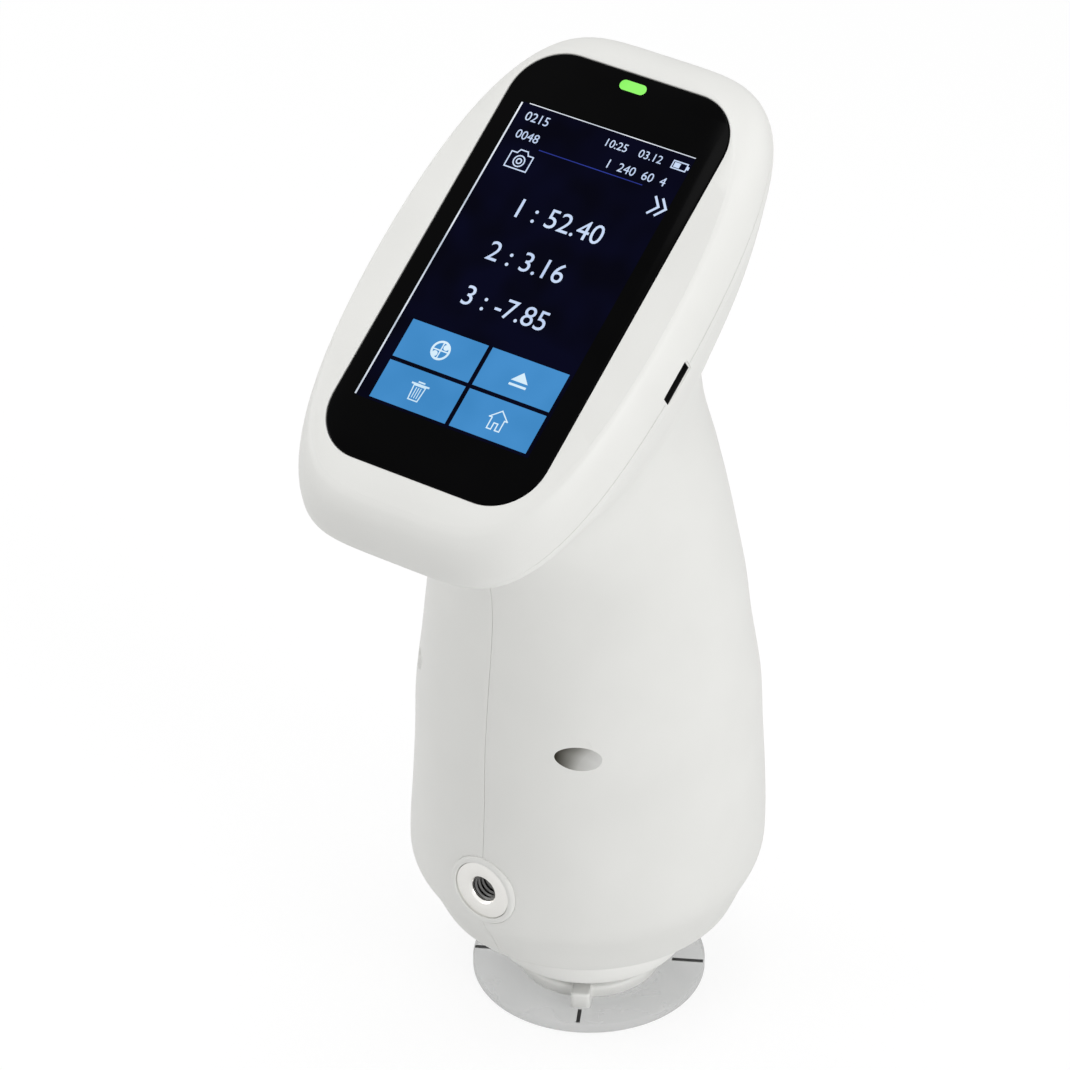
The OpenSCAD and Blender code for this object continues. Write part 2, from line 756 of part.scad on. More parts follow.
module locator_grip_ring() {
    color([0.12, 0.12, 0.12]) translate([0, 0, 4.6]) rotate_extrude()
        translate([ring_r + 0.65, 0]) circle(r = 0.45);
}

module locator_collar() {
    color(shell_white) difference() {
        union() {
            rotate_extrude() polygon([
                [8, disc_t], [collar_r, disc_t], [collar_r, 4.6], [collar_r - 0.4, 5.3],
                [collar_r - 1.1, 5.6], [8, 5.6]
            ]);
            intersection() {
                rotate([0, 0, pointer_angle]) translate([-pointer_w / 2, -24, disc_t])
                    cube([pointer_w, 9, 3.9]);
                cylinder(r = pointer_r, h = 10);
            }
        }
        translate([0, 0, 3.3]) cylinder(r = ring_r + 0.2, h = 4);
        translate([0, 0, 4.1]) cylinder(r = ring_r + 1.25, h = 1);
        translate([0, 0, disc_t - 1]) cylinder(r = 7.3, h = 3);
    }
}

module mark_bars(low) {
    mark_w = 0.9;
    for (a = [90, 180, 270]) rotate([0, 0, pointer_angle + a])
        translate([-mark_w / 2, -disc_r + 0.3, low]) cube([mark_w, 7.4, 0.3]);
    rotate([0, 0, pointer_angle])
        translate([-mark_w / 2, -disc_r + 0.9, low]) cube([mark_w, 4.9, 0.3]);
}

module locator_disc() {
    color([0.85, 0.90, 0.92, 0.5]) difference() {
        cylinder(r = disc_r, h = disc_t);
        translate([0, 0, -1]) cylinder(r = 7.3, h = 5);
        mark_bars(disc_t - 0.25);
    }
}

module locator_marks() {
    color([0.03, 0.03, 0.03]) mark_bars(disc_t - 0.25);
}

head_front_cover();
touch_glass();
lcd_panel();
lcd_backlight();
display_frame();
display_board();
display_spacers();
display_screws();
status_led();
status_light_guide();
usb_receptacle();
usb_tongue();
body_shell_right();
body_shell_left();
shell_screws();
shell_screw_plugs();
tripod_socket_bezel();
tripod_insert();
port_plate();
port_flange();
port_screws();
aperture_ring();
sphere_lower();
sphere_upper();
sphere_baffle();
illuminant_board();
illuminant_leds();
specular_trap();
lens_barrel();
collecting_lens();
camera_module();
chassis();
chassis_screws();
spectrometer_housing();
spectrometer_lid();
concave_grating();
line_sensor_board();
main_board();
processor_shield();
battery_pack();
battery_strap();
buzzer();
button_bracket();
button_board();
tact_switch();
measure_button();
power_switch_body();
power_switch_knob();
locator_grip_ring();
locator_collar();
locator_disc();
locator_marks();
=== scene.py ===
import bmesh
import bpy
import json
from math import cos, sin, pi, radians, sqrt
from mathutils import Matrix, Vector


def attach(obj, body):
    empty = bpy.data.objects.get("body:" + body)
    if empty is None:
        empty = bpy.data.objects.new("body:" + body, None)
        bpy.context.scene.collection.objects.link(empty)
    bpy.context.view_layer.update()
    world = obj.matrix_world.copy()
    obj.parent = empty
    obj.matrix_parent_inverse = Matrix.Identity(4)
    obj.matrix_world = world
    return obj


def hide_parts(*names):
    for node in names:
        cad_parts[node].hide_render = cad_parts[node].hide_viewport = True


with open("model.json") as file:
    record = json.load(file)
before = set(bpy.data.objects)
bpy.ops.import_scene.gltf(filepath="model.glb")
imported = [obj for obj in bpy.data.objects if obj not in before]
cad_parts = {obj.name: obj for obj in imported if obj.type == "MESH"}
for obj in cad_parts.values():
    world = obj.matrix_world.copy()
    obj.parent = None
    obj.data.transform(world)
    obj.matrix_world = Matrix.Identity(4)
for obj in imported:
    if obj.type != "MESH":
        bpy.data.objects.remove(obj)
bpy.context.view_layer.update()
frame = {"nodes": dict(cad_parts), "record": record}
print("frame loaded:", len(frame["nodes"]), "nodes")

mm = 0.001

# the instrument's main form, in mm; the same stations as the construction
form = {
    "tilt": radians(34.8),
    "faceFore": 25.7,
    "faceUp": 200.6,
    "headWidth": 80.0,
    "headLow": 67.7,
    "headHigh": 62.6,
    "partingDepth": 10,
    "rimGap": 0.3,
    "wall": 2.2,
    "barrel": 0.19,
}

studio = {
    "aim": (-0.0153, -0.0006, 0.1158),
    "camera": (0.5750, -0.8410, 0.7762),
    "lens": 179.9,
    "lensRange": (0.05, 20),
    "worldLight": 0.45,
    "worldSeen": 1.0,
    "floorTone": (0.86, 0.86, 0.86, 1),
    "floorSize": 6,
    # mm below the clear disc, so that the two don't coincide
    "floorDrop": 0.2,
    # how much of the floor's own white the camera sees over its shadow
    "floorSeen": 0.8,
    "floorGlow": 1.06,
    "lamps": [
        # place, size in m, watts
        ((1.2, -0.25, 0.55), 0.7, 5.7),
        ((0.9, 0.8, 0.7), 0.7, 1.4),
        ((0.05, -0.05, 1.5), 0.9, 6.0),
        ((-1.2, -0.3, 0.7), 0.8, 4.0),
        ((-0.7, -1.0, 0.5), 0.7, 1.0),
    ],
}


def placeCamera():
    lens = bpy.data.cameras.new("photoCamera")
    lens.lens = studio["lens"]
    lens.sensor_width = 36
    lens.clip_start, lens.clip_end = studio["lensRange"]
    camera = bpy.data.objects.new("photoCamera", lens)
    bpy.context.collection.objects.link(camera)
    camera.location = studio["camera"]
    look = Vector(studio["aim"]) - Vector(studio["camera"])
    camera.rotation_mode = "QUATERNION"
    camera.rotation_quaternion = look.to_track_quat("-Z", "Y")
    bpy.context.scene.camera = camera


placeCamera()
bpy.context.scene.view_settings.view_transform = "Standard"
print("camera placed")


# shader maths: a socket that adds its own Math nodes
class Field:
    def __init__(self, finish, socket):
        self.finish = finish
        self.socket = socket

    def joined(self, operation, first, second):
        return self.finish.add("ShaderNodeMath", {"operation": operation}, {0: first, 1: second})

    def __add__(self, other):
        return self.joined("ADD", self, other)

    def __radd__(self, other):
        return self.joined("ADD", other, self)

    def __sub__(self, other):
        return self.joined("SUBTRACT", self, other)

    def __rsub__(self, other):
        return self.joined("SUBTRACT", other, self)

    def __mul__(self, other):
        return self.joined("MULTIPLY", self, other)

    def __rmul__(self, other):
        return self.joined("MULTIPLY", other, self)

    def output(self, name):
        return Field(self.finish, self.socket.node.outputs[name])


class Finish:
    def __init__(self, name):
        self.material = bpy.data.materials.new(name)
        self.material.use_nodes = True
        self.tree = self.material.node_tree
        self.shader = self.tree.nodes["Principled BSDF"]

    def add(self, kind, settings, values):
        node = self.tree.nodes.new(kind)
        for key, value in settings.items():
            if key == "stops":
                self.stops(node.color_ramp, value)
            else:
                setattr(node, key, value)
        for key, value in values.items():
            self.feed(node.inputs[key], value)
        return Field(self, next(o for o in node.outputs if o.enabled))

    def stops(self, ramp, stops):
        while len(ramp.elements) < len(stops):
            ramp.elements.new(0.5)
        for element, (place, colour) in zip(ramp.elements, stops):
            element.position = place
            element.color = colour

    def feed(self, socket, value):
        if isinstance(value, Field):
            self.tree.links.new(value.socket, socket)
        else:
            socket.default_value = value

    def set(self, **values):
        for key, value in values.items():
            self.feed(self.shader.inputs[key.replace("_", " ")], value)
        return self

    def place(self):
        return self.add("ShaderNodeTexCoord", {}, {}).output("Object")

    def noise(self, scale, detail=3.0, roughness=0.5):
        return self.add("ShaderNodeTexNoise", {}, {
            "Vector": self.place(), "Scale": scale, "Detail": detail, "Roughness": roughness,
        }).output("Fac")

    def ramp(self, factor, stops):
        return self.add("ShaderNodeValToRGB", {"stops": stops}, {"Fac": factor})

    def bump(self, height, strength, distance):
        return self.add("ShaderNodeBump", {}, {
            "Height": height, "Strength": strength, "Distance": distance,
        })


def tone(r, g, b):
    return (r, g, b, 1.0)


# moulded and painted finishes
def mouldedPlastic(name, light, dark, roughness, grain=2600, grainDepth=0.00004, clear=0.0):
    finish = Finish(name)
    cloud = finish.noise(38, 2.0)
    pits = finish.noise(grain, 2.0)
    finish.set(
        Base_Color=finish.ramp(cloud, [(0.35, tone(*dark)), (0.65, tone(*light))]),
        Roughness=roughness + (pits - 0.5) * 0.10 + (cloud - 0.5) * 0.06,
        Normal=finish.bump(pits, 0.30, grainDepth),
        Coat_Weight=clear,
    )
    return finish.material


def metalFinish(name, light, dark, roughness, scratch=900, grooves=0.25):
    finish = Finish(name)
    streak = finish.noise(scratch, 4.0, 0.6)
    stain = finish.noise(120, 2.0)
    finish.set(
        Base_Color=finish.ramp(stain, [(0.3, tone(*dark)), (0.7, tone(*light))]),
        Roughness=roughness + (streak - 0.5) * 0.16,
        Normal=finish.bump(streak, grooves, 0.00002),
    )
    finish.set(Metallic=1.0)
    return finish.material


def boardFinish():
    finish = Finish("solderMask")
    cells = finish.add("ShaderNodeTexVoronoi", {"feature": "DISTANCE_TO_EDGE"}, {
        "Vector": finish.place(), "Scale": 420.0,
    })
    tracks = finish.ramp(cells, [(0.03, tone(0.10, 0.36, 0.20)), (0.08, tone(0.03, 0.17, 0.09))])
    finish.set(Base_Color=tracks, Roughness=0.35 + finish.noise(500) * 0.1)
    return finish.material


# painted shade inside the hollow, standing in for its depth: darkest at the undercut end and towards
# its upper edge, up to the shell's white where it runs out
hollowShade = {
    "tip": (0.01608, -0.03795, 0.08821),
    "run": (0.824, 0.561, -0.081),
    "perMetreAlong": 90,
    "perMetreDown": 70,
    "stops": [(0.0, (0.03, 0.027, 0.019)), (0.2, (0.085, 0.078, 0.058)), (0.5, (0.40, 0.395, 0.365)),
              (0.75, (0.79, 0.79, 0.765)), (1.0, (0.88, 0.88, 0.86))],
}


def hollowFinish():
    finish = Finish("hollowShade")
    tip, run = hollowShade["tip"], hollowShade["run"]
    along = finish.add("ShaderNodeVectorMath", {"operation": "DOT_PRODUCT"}, {
        0: finish.place(), 1: run,
    }).output("Value")
    height = finish.add("ShaderNodeSeparateXYZ", {}, {0: finish.place()}).output("Z")
    start = sum(a * b for a, b in zip(tip, run))
    reach = ((along - start) * hollowShade["perMetreAlong"]
             + (tip[2] - height) * hollowShade["perMetreDown"])
    stops = [(place, tone(*colour)) for place, colour in hollowShade["stops"]]
    finish.set(
        Base_Color=finish.ramp(reach, stops),
        Roughness=0.46 + (finish.noise(2600, 2.0) - 0.5) * 0.1,
    )
    return finish.material


def glowFinish(name, middle, edge, strength, roughness=0.15):
    finish = Finish(name)
    cloud = finish.noise(90, 1.0)
    finish.set(
        Base_Color=(0.0, 0.0, 0.0, 1.0),
        Emission_Color=finish.ramp(cloud, [(0.35, tone(*edge)), (0.65, tone(*middle))]),
        Emission_Strength=strength,
        Roughness=roughness,
        Specular_IOR_Level=0.02,
    )
    return finish.material


def clearFinish(name, tint, roughness, alpha):
    finish = Finish(name)
    haze = finish.noise(140, 3.0)
    finish.set(
        Base_Color=finish.ramp(haze, [(0.3, tone(*tint)), (0.7, tone(1.0, 1.0, 1.0))]),
        Roughness=roughness + (haze - 0.5) * 0.02,
        Transmission_Weight=alpha,
        IOR=1.49,
    )
    return finish.material


# clear plastic plate: the floor shows through, the edges catch more light
def clearPlate():
    finish = Finish("clearAcrylic")
    haze = finish.noise(90, 3.0)
    facing = finish.add("ShaderNodeLayerWeight", {}, {"Blend": 0.35}).output("Facing")
    finish.set(
        Base_Color=finish.ramp(haze, [(0.3, tone(0.52, 0.53, 0.52)), (0.7, tone(0.60, 0.61, 0.60))]),
        Roughness=0.10 + (haze - 0.5) * 0.04,
        Alpha=0.28 + facing * 0.35,
        IOR=1.49,
    )
    return finish.material


def blackGlass():
    finish = Finish("maskedGlass")
    smear = finish.noise(60, 3.0)
    finish.set(
        Base_Color=finish.ramp(smear, [(0.4, tone(0.0004, 0.0004, 0.0005)),
                                       (0.7, tone(0.0008, 0.0008, 0.001))]),
        Roughness=0.06 + smear * 0.05,
        Specular_IOR_Level=0.03,
    )
    return finish.material


finishes = {
    "white_shell": mouldedPlastic("warmWhiteShell", (0.80, 0.80, 0.775), (0.775, 0.775, 0.75), 0.46),
    "hollow_shade": hollowFinish(),
    "black_glass": blackGlass(),
    "screen": glowFinish("screenNavy", (0.0012, 0.0014, 0.0115), (0.0006, 0.0006, 0.005), 1.0),
    "diffuser": mouldedPlastic("lightSpreader", (0.90, 0.91, 0.92), (0.86, 0.87, 0.88), 0.5),
    "sheet_metal": metalFinish("stampedSheet", (0.66, 0.66, 0.65), (0.56, 0.56, 0.56), 0.34),
    "circuit_board": boardFinish(),
    "screw_steel": metalFinish("platedSteel", (0.62, 0.62, 0.63), (0.50, 0.50, 0.52), 0.30),
    "green_light": glowFinish("greenPipe", (0.30, 0.95, 0.16), (0.22, 0.85, 0.10), 1.0),
    "black_plastic": mouldedPlastic("mouldedBlack", (0.022, 0.022, 0.024), (0.015, 0.015, 0.017), 0.42),
    "nickel": metalFinish("satinNickel", (0.93, 0.92, 0.89), (0.90, 0.89, 0.86), 0.24, grooves=0.05),
    # a lighter copy of the shell's white: painted light on the port flange and the locator's collar and
    # pointer, which sit in the body's shade
    "painted_light_white": mouldedPlastic("paintedLightWhite", (0.93, 0.93, 0.905), (0.905, 0.905, 0.88), 0.46),
    # near-black: painted shade in the charging slot, on the receptacle, its tongue and a dark sheet
    # inside the opening
    "slot_shade_black": mouldedPlastic("slotShadeBlack", (0.006, 0.006, 0.006), (0.003, 0.003, 0.003), 0.5),
    # a dark copy of the metal: painted shade inside the socket's bore and on its thread
    "bore_shade_metal": metalFinish("boreShadeMetal", (0.20, 0.20, 0.195), (0.12, 0.12, 0.118), 0.34),
    "sphere_white": mouldedPlastic("sphereCoating", (0.93, 0.93, 0.92), (0.90, 0.90, 0.89), 0.85),
    "optics_black": mouldedPlastic("blackAnodised", (0.020, 0.020, 0.021), (0.013, 0.013, 0.014), 0.36),
    "lens_glass": clearFinish("lensGlass", (0.93, 0.97, 0.98), 0.03, 0.9),
    "dark_frame": mouldedPlastic("frameGrey", (0.11, 0.112, 0.118), (0.08, 0.082, 0.088), 0.5),
    "shield_can": metalFinish("tinnedCan", (0.74, 0.74, 0.73), (0.64, 0.64, 0.64), 0.28),
    "battery_wrap": mouldedPlastic("shrinkWrap", (0.05, 0.14, 0.34), (0.035, 0.11, 0.28), 0.24,
                                   clear=0.3),
    "button_grey": mouldedPlastic("softButton", (0.120, 0.125, 0.132), (0.098, 0.102, 0.108), 0.55),
    "rubber": mouldedPlastic("blackRubber", (0.018, 0.018, 0.018), (0.012, 0.012, 0.012), 0.7),
    "clear_disc": clearPlate(),
    "mark_black": mouldedPlastic("markPaint", (0.012, 0.012, 0.012), (0.008, 0.008, 0.008), 0.45),
}
slotOf = {p["node"]: p["material_slot"] for p in frame["record"]["subparts"]}
for node, piece in frame["nodes"].items():
    piece.data.materials.clear()
    piece.data.materials.append(finishes[slotOf[node]])
print("finishes made:", len(finishes))


# making pieces
def finishPiece(bm, name, slot, body, replaced=(), sharp=32):
    bmesh.ops.recalc_face_normals(bm, faces=bm.faces)
    for face in bm.faces:
        face.smooth = True
    for edge in bm.edges:
        if len(edge.link_faces) == 2:
            edge.smooth = edge.calc_face_angle(0) < radians(sharp)
    mesh = bpy.data.meshes.new(name)
    bm.to_mesh(mesh)
    bm.free()
    piece = bpy.data.objects.new(name, mesh)
    bpy.context.collection.objects.link(piece)
    mesh.materials.append(finishes[slot])
    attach(piece, body)
    if replaced:
        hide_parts(*replaced)
    return piece


def cornerEdges(bm, above):
    return [e for e in bm.edges if len(e.link_faces) == 2 and e.calc_face_angle(0) > radians(above)]


def softenEdges(bm, edges, width, segments=2):
    bmesh.ops.bevel(bm, geom=edges, offset=width * mm, segments=segments, affect="EDGES",
                    profile=0.5, clamp_overlap=True, material=-1)


# a copy of a construction node with its corners rounded
def softenedNode(node, width, name, body="root", segments=2, above=40):
    bm = bmesh.new()
    bm.from_mesh(frame["nodes"][node].data)
    bmesh.ops.remove_doubles(bm, verts=bm.verts, dist=0.002 * mm)
    bmesh.ops.dissolve_limit(bm, angle_limit=radians(0.5), verts=bm.verts, edges=bm.edges)
    softenEdges(bm, cornerEdges(bm, above), width, segments)
    return finishPiece(bm, name, slotOf[node], body, [node])


# a grid laid over a form: place(u, v) gives a point in mm
def wrappedGrid(columns, rows, place):
    bm = bmesh.new()
    bmesh.ops.create_grid(bm, x_segments=columns, y_segments=rows, size=1)
    for vert in bm.verts:
        u, v = (vert.co.x + 1) / 2, (vert.co.y + 1) / 2
        vert.co = Vector(place(u, v)) * mm
    bmesh.ops.remove_doubles(bm, verts=bm.verts, dist=0.001 * mm)
    return bm


# a turned piece: profile points are (radius, height) in mm
def turned(profile, steps=96, closed=True):
    bm = bmesh.new()
    verts = [bm.verts.new((r * mm, 0, z * mm)) for r, z in profile]
    pairs = zip(verts, verts[1:] + verts[:1]) if closed else zip(verts, verts[1:])
    edges = [bm.edges.new(pair) for pair in pairs]
    bmesh.ops.spin(bm, geom=verts + edges, axis=(0, 0, 1), cent=(0, 0, 0), steps=steps,
                   angle=2 * pi, use_merge=True)
    bmesh.ops.remove_doubles(bm, verts=bm.verts, dist=0.001 * mm)
    return bm


def lifted(x, y, z):
    return Matrix.Translation(Vector((x, y, z)) * mm)


# a slab with round corners, between two heights; a pill where no radius is given
def pillBlock(width, height, low, high, arc=14, radius=None):
    radius = width / 2 if radius is None else radius
    bm = bmesh.new()
    corners = [(1, 1), (-1, 1), (-1, -1), (1, -1)]
    rim = []
    for quarter, (sx, sy) in enumerate(corners):
        for step in range(arc + 1):
            a = pi / 2 * (quarter + step / arc)
            rim.append(bm.verts.new((
                (sx * (width / 2 - radius) + radius * cos(a)) * mm,
                (sy * (height / 2 - radius) + radius * sin(a)) * mm,
                low * mm)))
    floor = bm.faces.new(rim)
    raised = bmesh.ops.extrude_face_region(bm, geom=[floor])["geom"]
    bmesh.ops.translate(bm, vec=(0, 0, (high - low) * mm),
                        verts=[g for g in raised if isinstance(g, bmesh.types.BMVert)])
    bmesh.ops.remove_doubles(bm, verts=bm.verts, dist=0.0005 * mm)
    return bm


def onFace():
    return lifted(0, -form["faceFore"], form["faceUp"]) @ Matrix.Rotation(form["tilt"], 4, "X")


# the body's sections
def headPoint(t, d):
    return (-form["faceFore"] + t * cos(form["tilt"]) + d * sin(form["tilt"]),
            form["faceUp"] + t * sin(form["tilt"]) - d * cos(form["tilt"]))


def headStation(depth, inSide, inLow, inHigh, square):
    front = headPoint(-form["headLow"] + inLow, depth)
    back = headPoint(form["headHigh"] - inHigh, depth)
    return [*front, *back, form["headWidth"] / 2 - inSide, square, form["barrel"]]


def flatStation(z, half, front, back):
    return [front, z, back, z, half, 2, 0]


def leanStation(front, back, half, square, bulge):
    return [*front, *back, half, square, bulge]


bodyStations = [
    flatStation(24.5, 34.2, -35.6, 34.8),
    flatStation(25.4, 34.9, -36.3, 35.5),
    flatStation(31.4, 37.4, -39.3, 37.9),
    flatStation(38.2, 40.4, -43.1, 41.3),
    flatStation(45.0, 40.7, -43.7, 42.3),
    flatStation(57.0, 40.1, -43.0, 42.2),
    flatStation(71.0, 39.4, -42.3, 41.2),
    flatStation(84.0, 38.9, -42.0, 40.2),
    flatStation(99.0, 36.9, -40.7, 37.6),
    leanStation((-39.4, 110.5), (35.6, 111.5), 35.7, 2, 0),
    leanStation((-38.8, 119.5), (33.2, 123.0), 34.2, 2, 0),
    leanStation((-39.4, 127.0), (30.6, 135.0), 32.6, 2.02, 0),
    leanStation((-41.6, 134.5), (27.3, 148.0), 30.7, 2.06, 0),
    leanStation((-46.5, 141.5), (23.3, 162.5), 28.2, 2.18, 0.01),
    leanStation((-54.0, 146.2), (21.0, 178.0), 29.0, 2.4, 0.04),
    leanStation((-62.5, 149.0), (23.9, 194.5), 33.6, 2.8, 0.09),
    leanStation((-69.2, 150.8), (30.3, 211.0), 37.1, 3.6, 0.14),
    headStation(13.6, 0.7, 1.5, 0.7, 4.6),
    headStation(12.0, 0.3, 0.7, 0.3, 4.8),
    headStation(form["partingDepth"] + form["rimGap"], 0.2, 0.3, 0.2, 4.8),
]
coverStations = [
    headStation(form["partingDepth"], 0, 0, 0, 4.8),
    headStation(7.5, 0.2, 0.9, 0.4, 4.8),
    headStation(5.0, 0.8, 2.4, 1.5, 4.8),
    headStation(2.5, 1.7, 4.6, 3.5, 4.7),
    headStation(0.7, 2.7, 7.1, 5.8, 4.6),
    headStation(0, 3.5, 9.0, 7.3, 4.5),
]


# the station at a fractional place v along a list, on a smooth curve through it
def stationAt(stations, v):
    last = len(stations) - 1
    k = min(int(v), last - 1)
    u = v - k
    picks = [stations[min(max(k + i, 0), last)] for i in (-1, 0, 1, 2)]
    return [0.5 * (2 * b + (c - a) * u + (2 * a - 5 * b + 4 * c - d) * u * u
                   + (3 * b - a - 3 * c + d) * u ** 3) for a, b, c, d in zip(*picks)]


def stationPoint(station, angle, inset=0.0):
    frontY, frontZ, backY, backZ, half, square, bulge = station
    halfY, halfZ = (backY - frontY) / 2, (backZ - frontZ) / 2
    reach = sqrt(halfY ** 2 + halfZ ** 2)
    spread = (abs(cos(angle)) ** square + abs(sin(angle)) ** square) ** (-1 / square)
    along, side = spread * sin(angle), spread * cos(angle)
    k = (reach - inset) / reach * along
    return ((half - inset) * (1 - bulge * along ** 2) * side,
            (frontY + backY) / 2 + halfY * k,
            (frontZ + backZ) / 2 + halfZ * k)


# cutting openings, after joining on any thicker places
def cutPiece(piece, cutters, pads=()):
    for number, bm in enumerate([*pads, *cutters]):
        bmesh.ops.recalc_face_normals(bm, faces=bm.faces)
        mesh = bpy.data.meshes.new("cutter")
        bm.to_mesh(mesh)
        bm.free()
        cutter = bpy.data.objects.new("cutter", mesh)
        bpy.context.collection.objects.link(cutter)
        opening = piece.modifiers.new(f"opening{number}", "BOOLEAN")
        opening.object = cutter
        opening.operation = "UNION" if number < len(pads) else "DIFFERENCE"
        opening.solver = "EXACT"
        whole = piece.evaluated_get(bpy.context.evaluated_depsgraph_get())
        cut = bpy.data.meshes.new_from_object(whole)
        piece.modifiers.clear()
        piece.data = cut
        bpy.data.objects.remove(cutter)


button = {"width": 12, "height": 22, "place": (0, 30.15, 138), "lean": radians(13.8), "proud": 1.2,
          "deep": 3.8, "edge": 1.0, "gap": 0.3, "cut": (-8, 6), "flangeOver": 1.2,
          "flange": (-4.5, -3.7), "arc": 20}


def onButton():
    return (lifted(*button["place"]) @ Matrix.Rotation(button["lean"] - pi / 2, 4, "X")
            @ Matrix.Rotation(pi, 4, "Z"))


def moved(bm, matrix):
    bmesh.ops.transform(bm, matrix=matrix, verts=bm.verts)
    return bm


socket = {"y": -43.1, "z": 47.5, "bezelRadius": 8.75, "clearance": 0.05, "cut": (-3, 6)}
hollow = {"start": (11.29, -36.47, 88.46), "turn": radians(9.2), "dip": radians(4.2), "half": 9.5,
          "radius": 3, "padRadius": 7, "padDeep": 4.4, "padTurn": radians(26), "padPlace": (0, -40, 88)}
usb = {"y": -7.8, "depth": 9.9, "wide": 10.4, "tall": 3.6, "cutMiddle": 40.4, "cutLong": 12,
       "corner": 0.5}
powerWindow = {"x": -39, "z": 104, "through": 12, "deep": 5.8, "tall": 11.8}
plugBore = {"radius": 2.5, "reach": 8}
plugPlaces = [(26, 54, 31.8), (-28, 92, 28.4), (8, 188, 30.1)]


def blockCutter(x, y, z):
    bm = bmesh.new()
    bmesh.ops.create_cube(bm, size=1)
    bmesh.ops.scale(bm, vec=Vector((x, y, z)) * mm, verts=bm.verts)
    return bm


# a spindle that starts under the wall at the hollow's pointed end and leans out of it
def hollowCutter():
    half, radius = hollow["half"], hollow["radius"]
    arc = (half ** 2 + radius ** 2) / (2 * radius)
    profile = []
    for step in range(41):
        z = half * (step / 20 - 1)
        profile.append((max(sqrt(arc ** 2 - z ** 2) - arc + radius, 0), z + half))
    bm = turned(profile, 96, closed=False)
    # the cutter's faces give the hollow's walls the shell's second finish, its painted shade
    for face in bm.faces:
        face.material_index = 1
    return moved(bm, lifted(*hollow["start"]) @ Matrix.Rotation(hollow["turn"], 4, "Z")
                 @ Matrix.Rotation(hollow["dip"] + pi / 2, 4, "Y"))


# the thicker place inside the wall, behind the hollow
def hollowPad():
    bm = turned([(0, 0), (hollow["padRadius"], 0), (hollow["padRadius"], hollow["padDeep"]),
                 (0, hollow["padDeep"])], 64, closed=False)
    return moved(bm, Matrix.Rotation(hollow["padTurn"], 4, "Z") @ lifted(*hollow["padPlace"])
                 @ Matrix.Rotation(-pi / 2, 4, "X"))


def socketCutter():
    radius = socket["bezelRadius"] + socket["clearance"]
    low, high = socket["cut"]
    bm = turned([(0, low), (radius, low), (radius, high), (0, high)])
    return moved(bm, lifted(0, socket["y"], socket["z"]) @ Matrix.Rotation(-pi / 2, 4, "X"))


def buttonCutter():
    gap = 2 * button["gap"]
    return moved(pillBlock(button["width"] + gap, button["height"] + gap, *button["cut"]), onButton())


def usbCutter():
    bm = blockCutter(usb["cutLong"], usb["wide"], usb["tall"])
    long = [e for e in bm.edges if abs((e.verts[0].co - e.verts[1].co).x) > usb["cutLong"] / 2 * mm]
    softenEdges(bm, long, usb["corner"], 4)
    return moved(bm, onFace() @ lifted(usb["cutMiddle"], usb["y"], -usb["depth"]))


shell = {"columns": 72, "rings": 152, "seamGap": 0.06, "seamRound": 0.22}


# one half of the body's wall; side is 1 for right and -1 for left
def halfShell(side, name, node, cutters, pads=()):
    last = len(bodyStations) - 1

    def place(u, v):
        x, y, z = stationPoint(stationAt(bodyStations, v * last), -pi / 2 + pi * u)
        return side * (max(x, 0) + shell["seamGap"]), y, z

    bm = wrappedGrid(shell["columns"], shell["rings"], place)
    bmesh.ops.recalc_face_normals(bm, faces=bm.faces)
    probe = max(bm.faces, key=lambda f: side * f.calc_center_median().x)
    if probe.normal.x * side < 0:
        bmesh.ops.reverse_faces(bm, faces=bm.faces)
    bmesh.ops.solidify(bm, geom=bm.faces[:], thickness=form["wall"] * mm)
    softenEdges(bm, cornerEdges(bm, 60), shell["seamRound"], 2)
    piece = finishPiece(bm, name, "white_shell", "root", [node])
    # the right shell's second finish is the hollow's painted shade
    if pads:
        piece.data.materials.append(finishes["hollow_shade"])
    cutPiece(piece, cutters, pads)
    markSharp(piece, 32)
    return piece


def recoat(piece, finish):
    piece.data.materials.clear()
    piece.data.materials.append(finishes[finish])


def markSharp(piece, above):
    bm = bmesh.new()
    bm.from_mesh(piece.data)
    for face in bm.faces:
        face.smooth = True
    for edge in bm.edges:
        if len(edge.link_faces) == 2:
            edge.smooth = edge.calc_face_angle(0) < radians(above)
    bm.to_mesh(piece.data)
    bm.free()


def leftCutters():
    cutters = [socketCutter(), buttonCutter()]
    window = blockCutter(powerWindow["through"], powerWindow["deep"], powerWindow["tall"])
    cutters.append(moved(window, lifted(powerWindow["x"], 0, powerWindow["z"])))
    radius, reach = plugBore["radius"], plugBore["reach"]
    for y, z, out in plugPlaces:
        bore = turned([(0, -reach), (radius, -reach), (radius, reach), (0, reach)], 48)
        cutters.append(moved(bore, lifted(-out, y, z) @ Matrix.Rotation(pi / 2, 4, "Y")))
    return cutters


rightCutters = [socketCutter(), buttonCutter(), usbCutter(), hollowCutter()]
halfShell(1, "shellRight", "body_shell_right", rightCutters, [hollowPad()])
halfShell(-1, "shellLeft", "body_shell_left", leftCutters())
print("body shells made")

glass = {"width": 56.1, "height": 104.3, "corner": 12.1, "thick": 1.1, "up": 0.6, "gap": 0.15,
         "edge": 0.3}
window = {"width": 52, "height": 101.6, "corner": 10, "roof": 2.4}


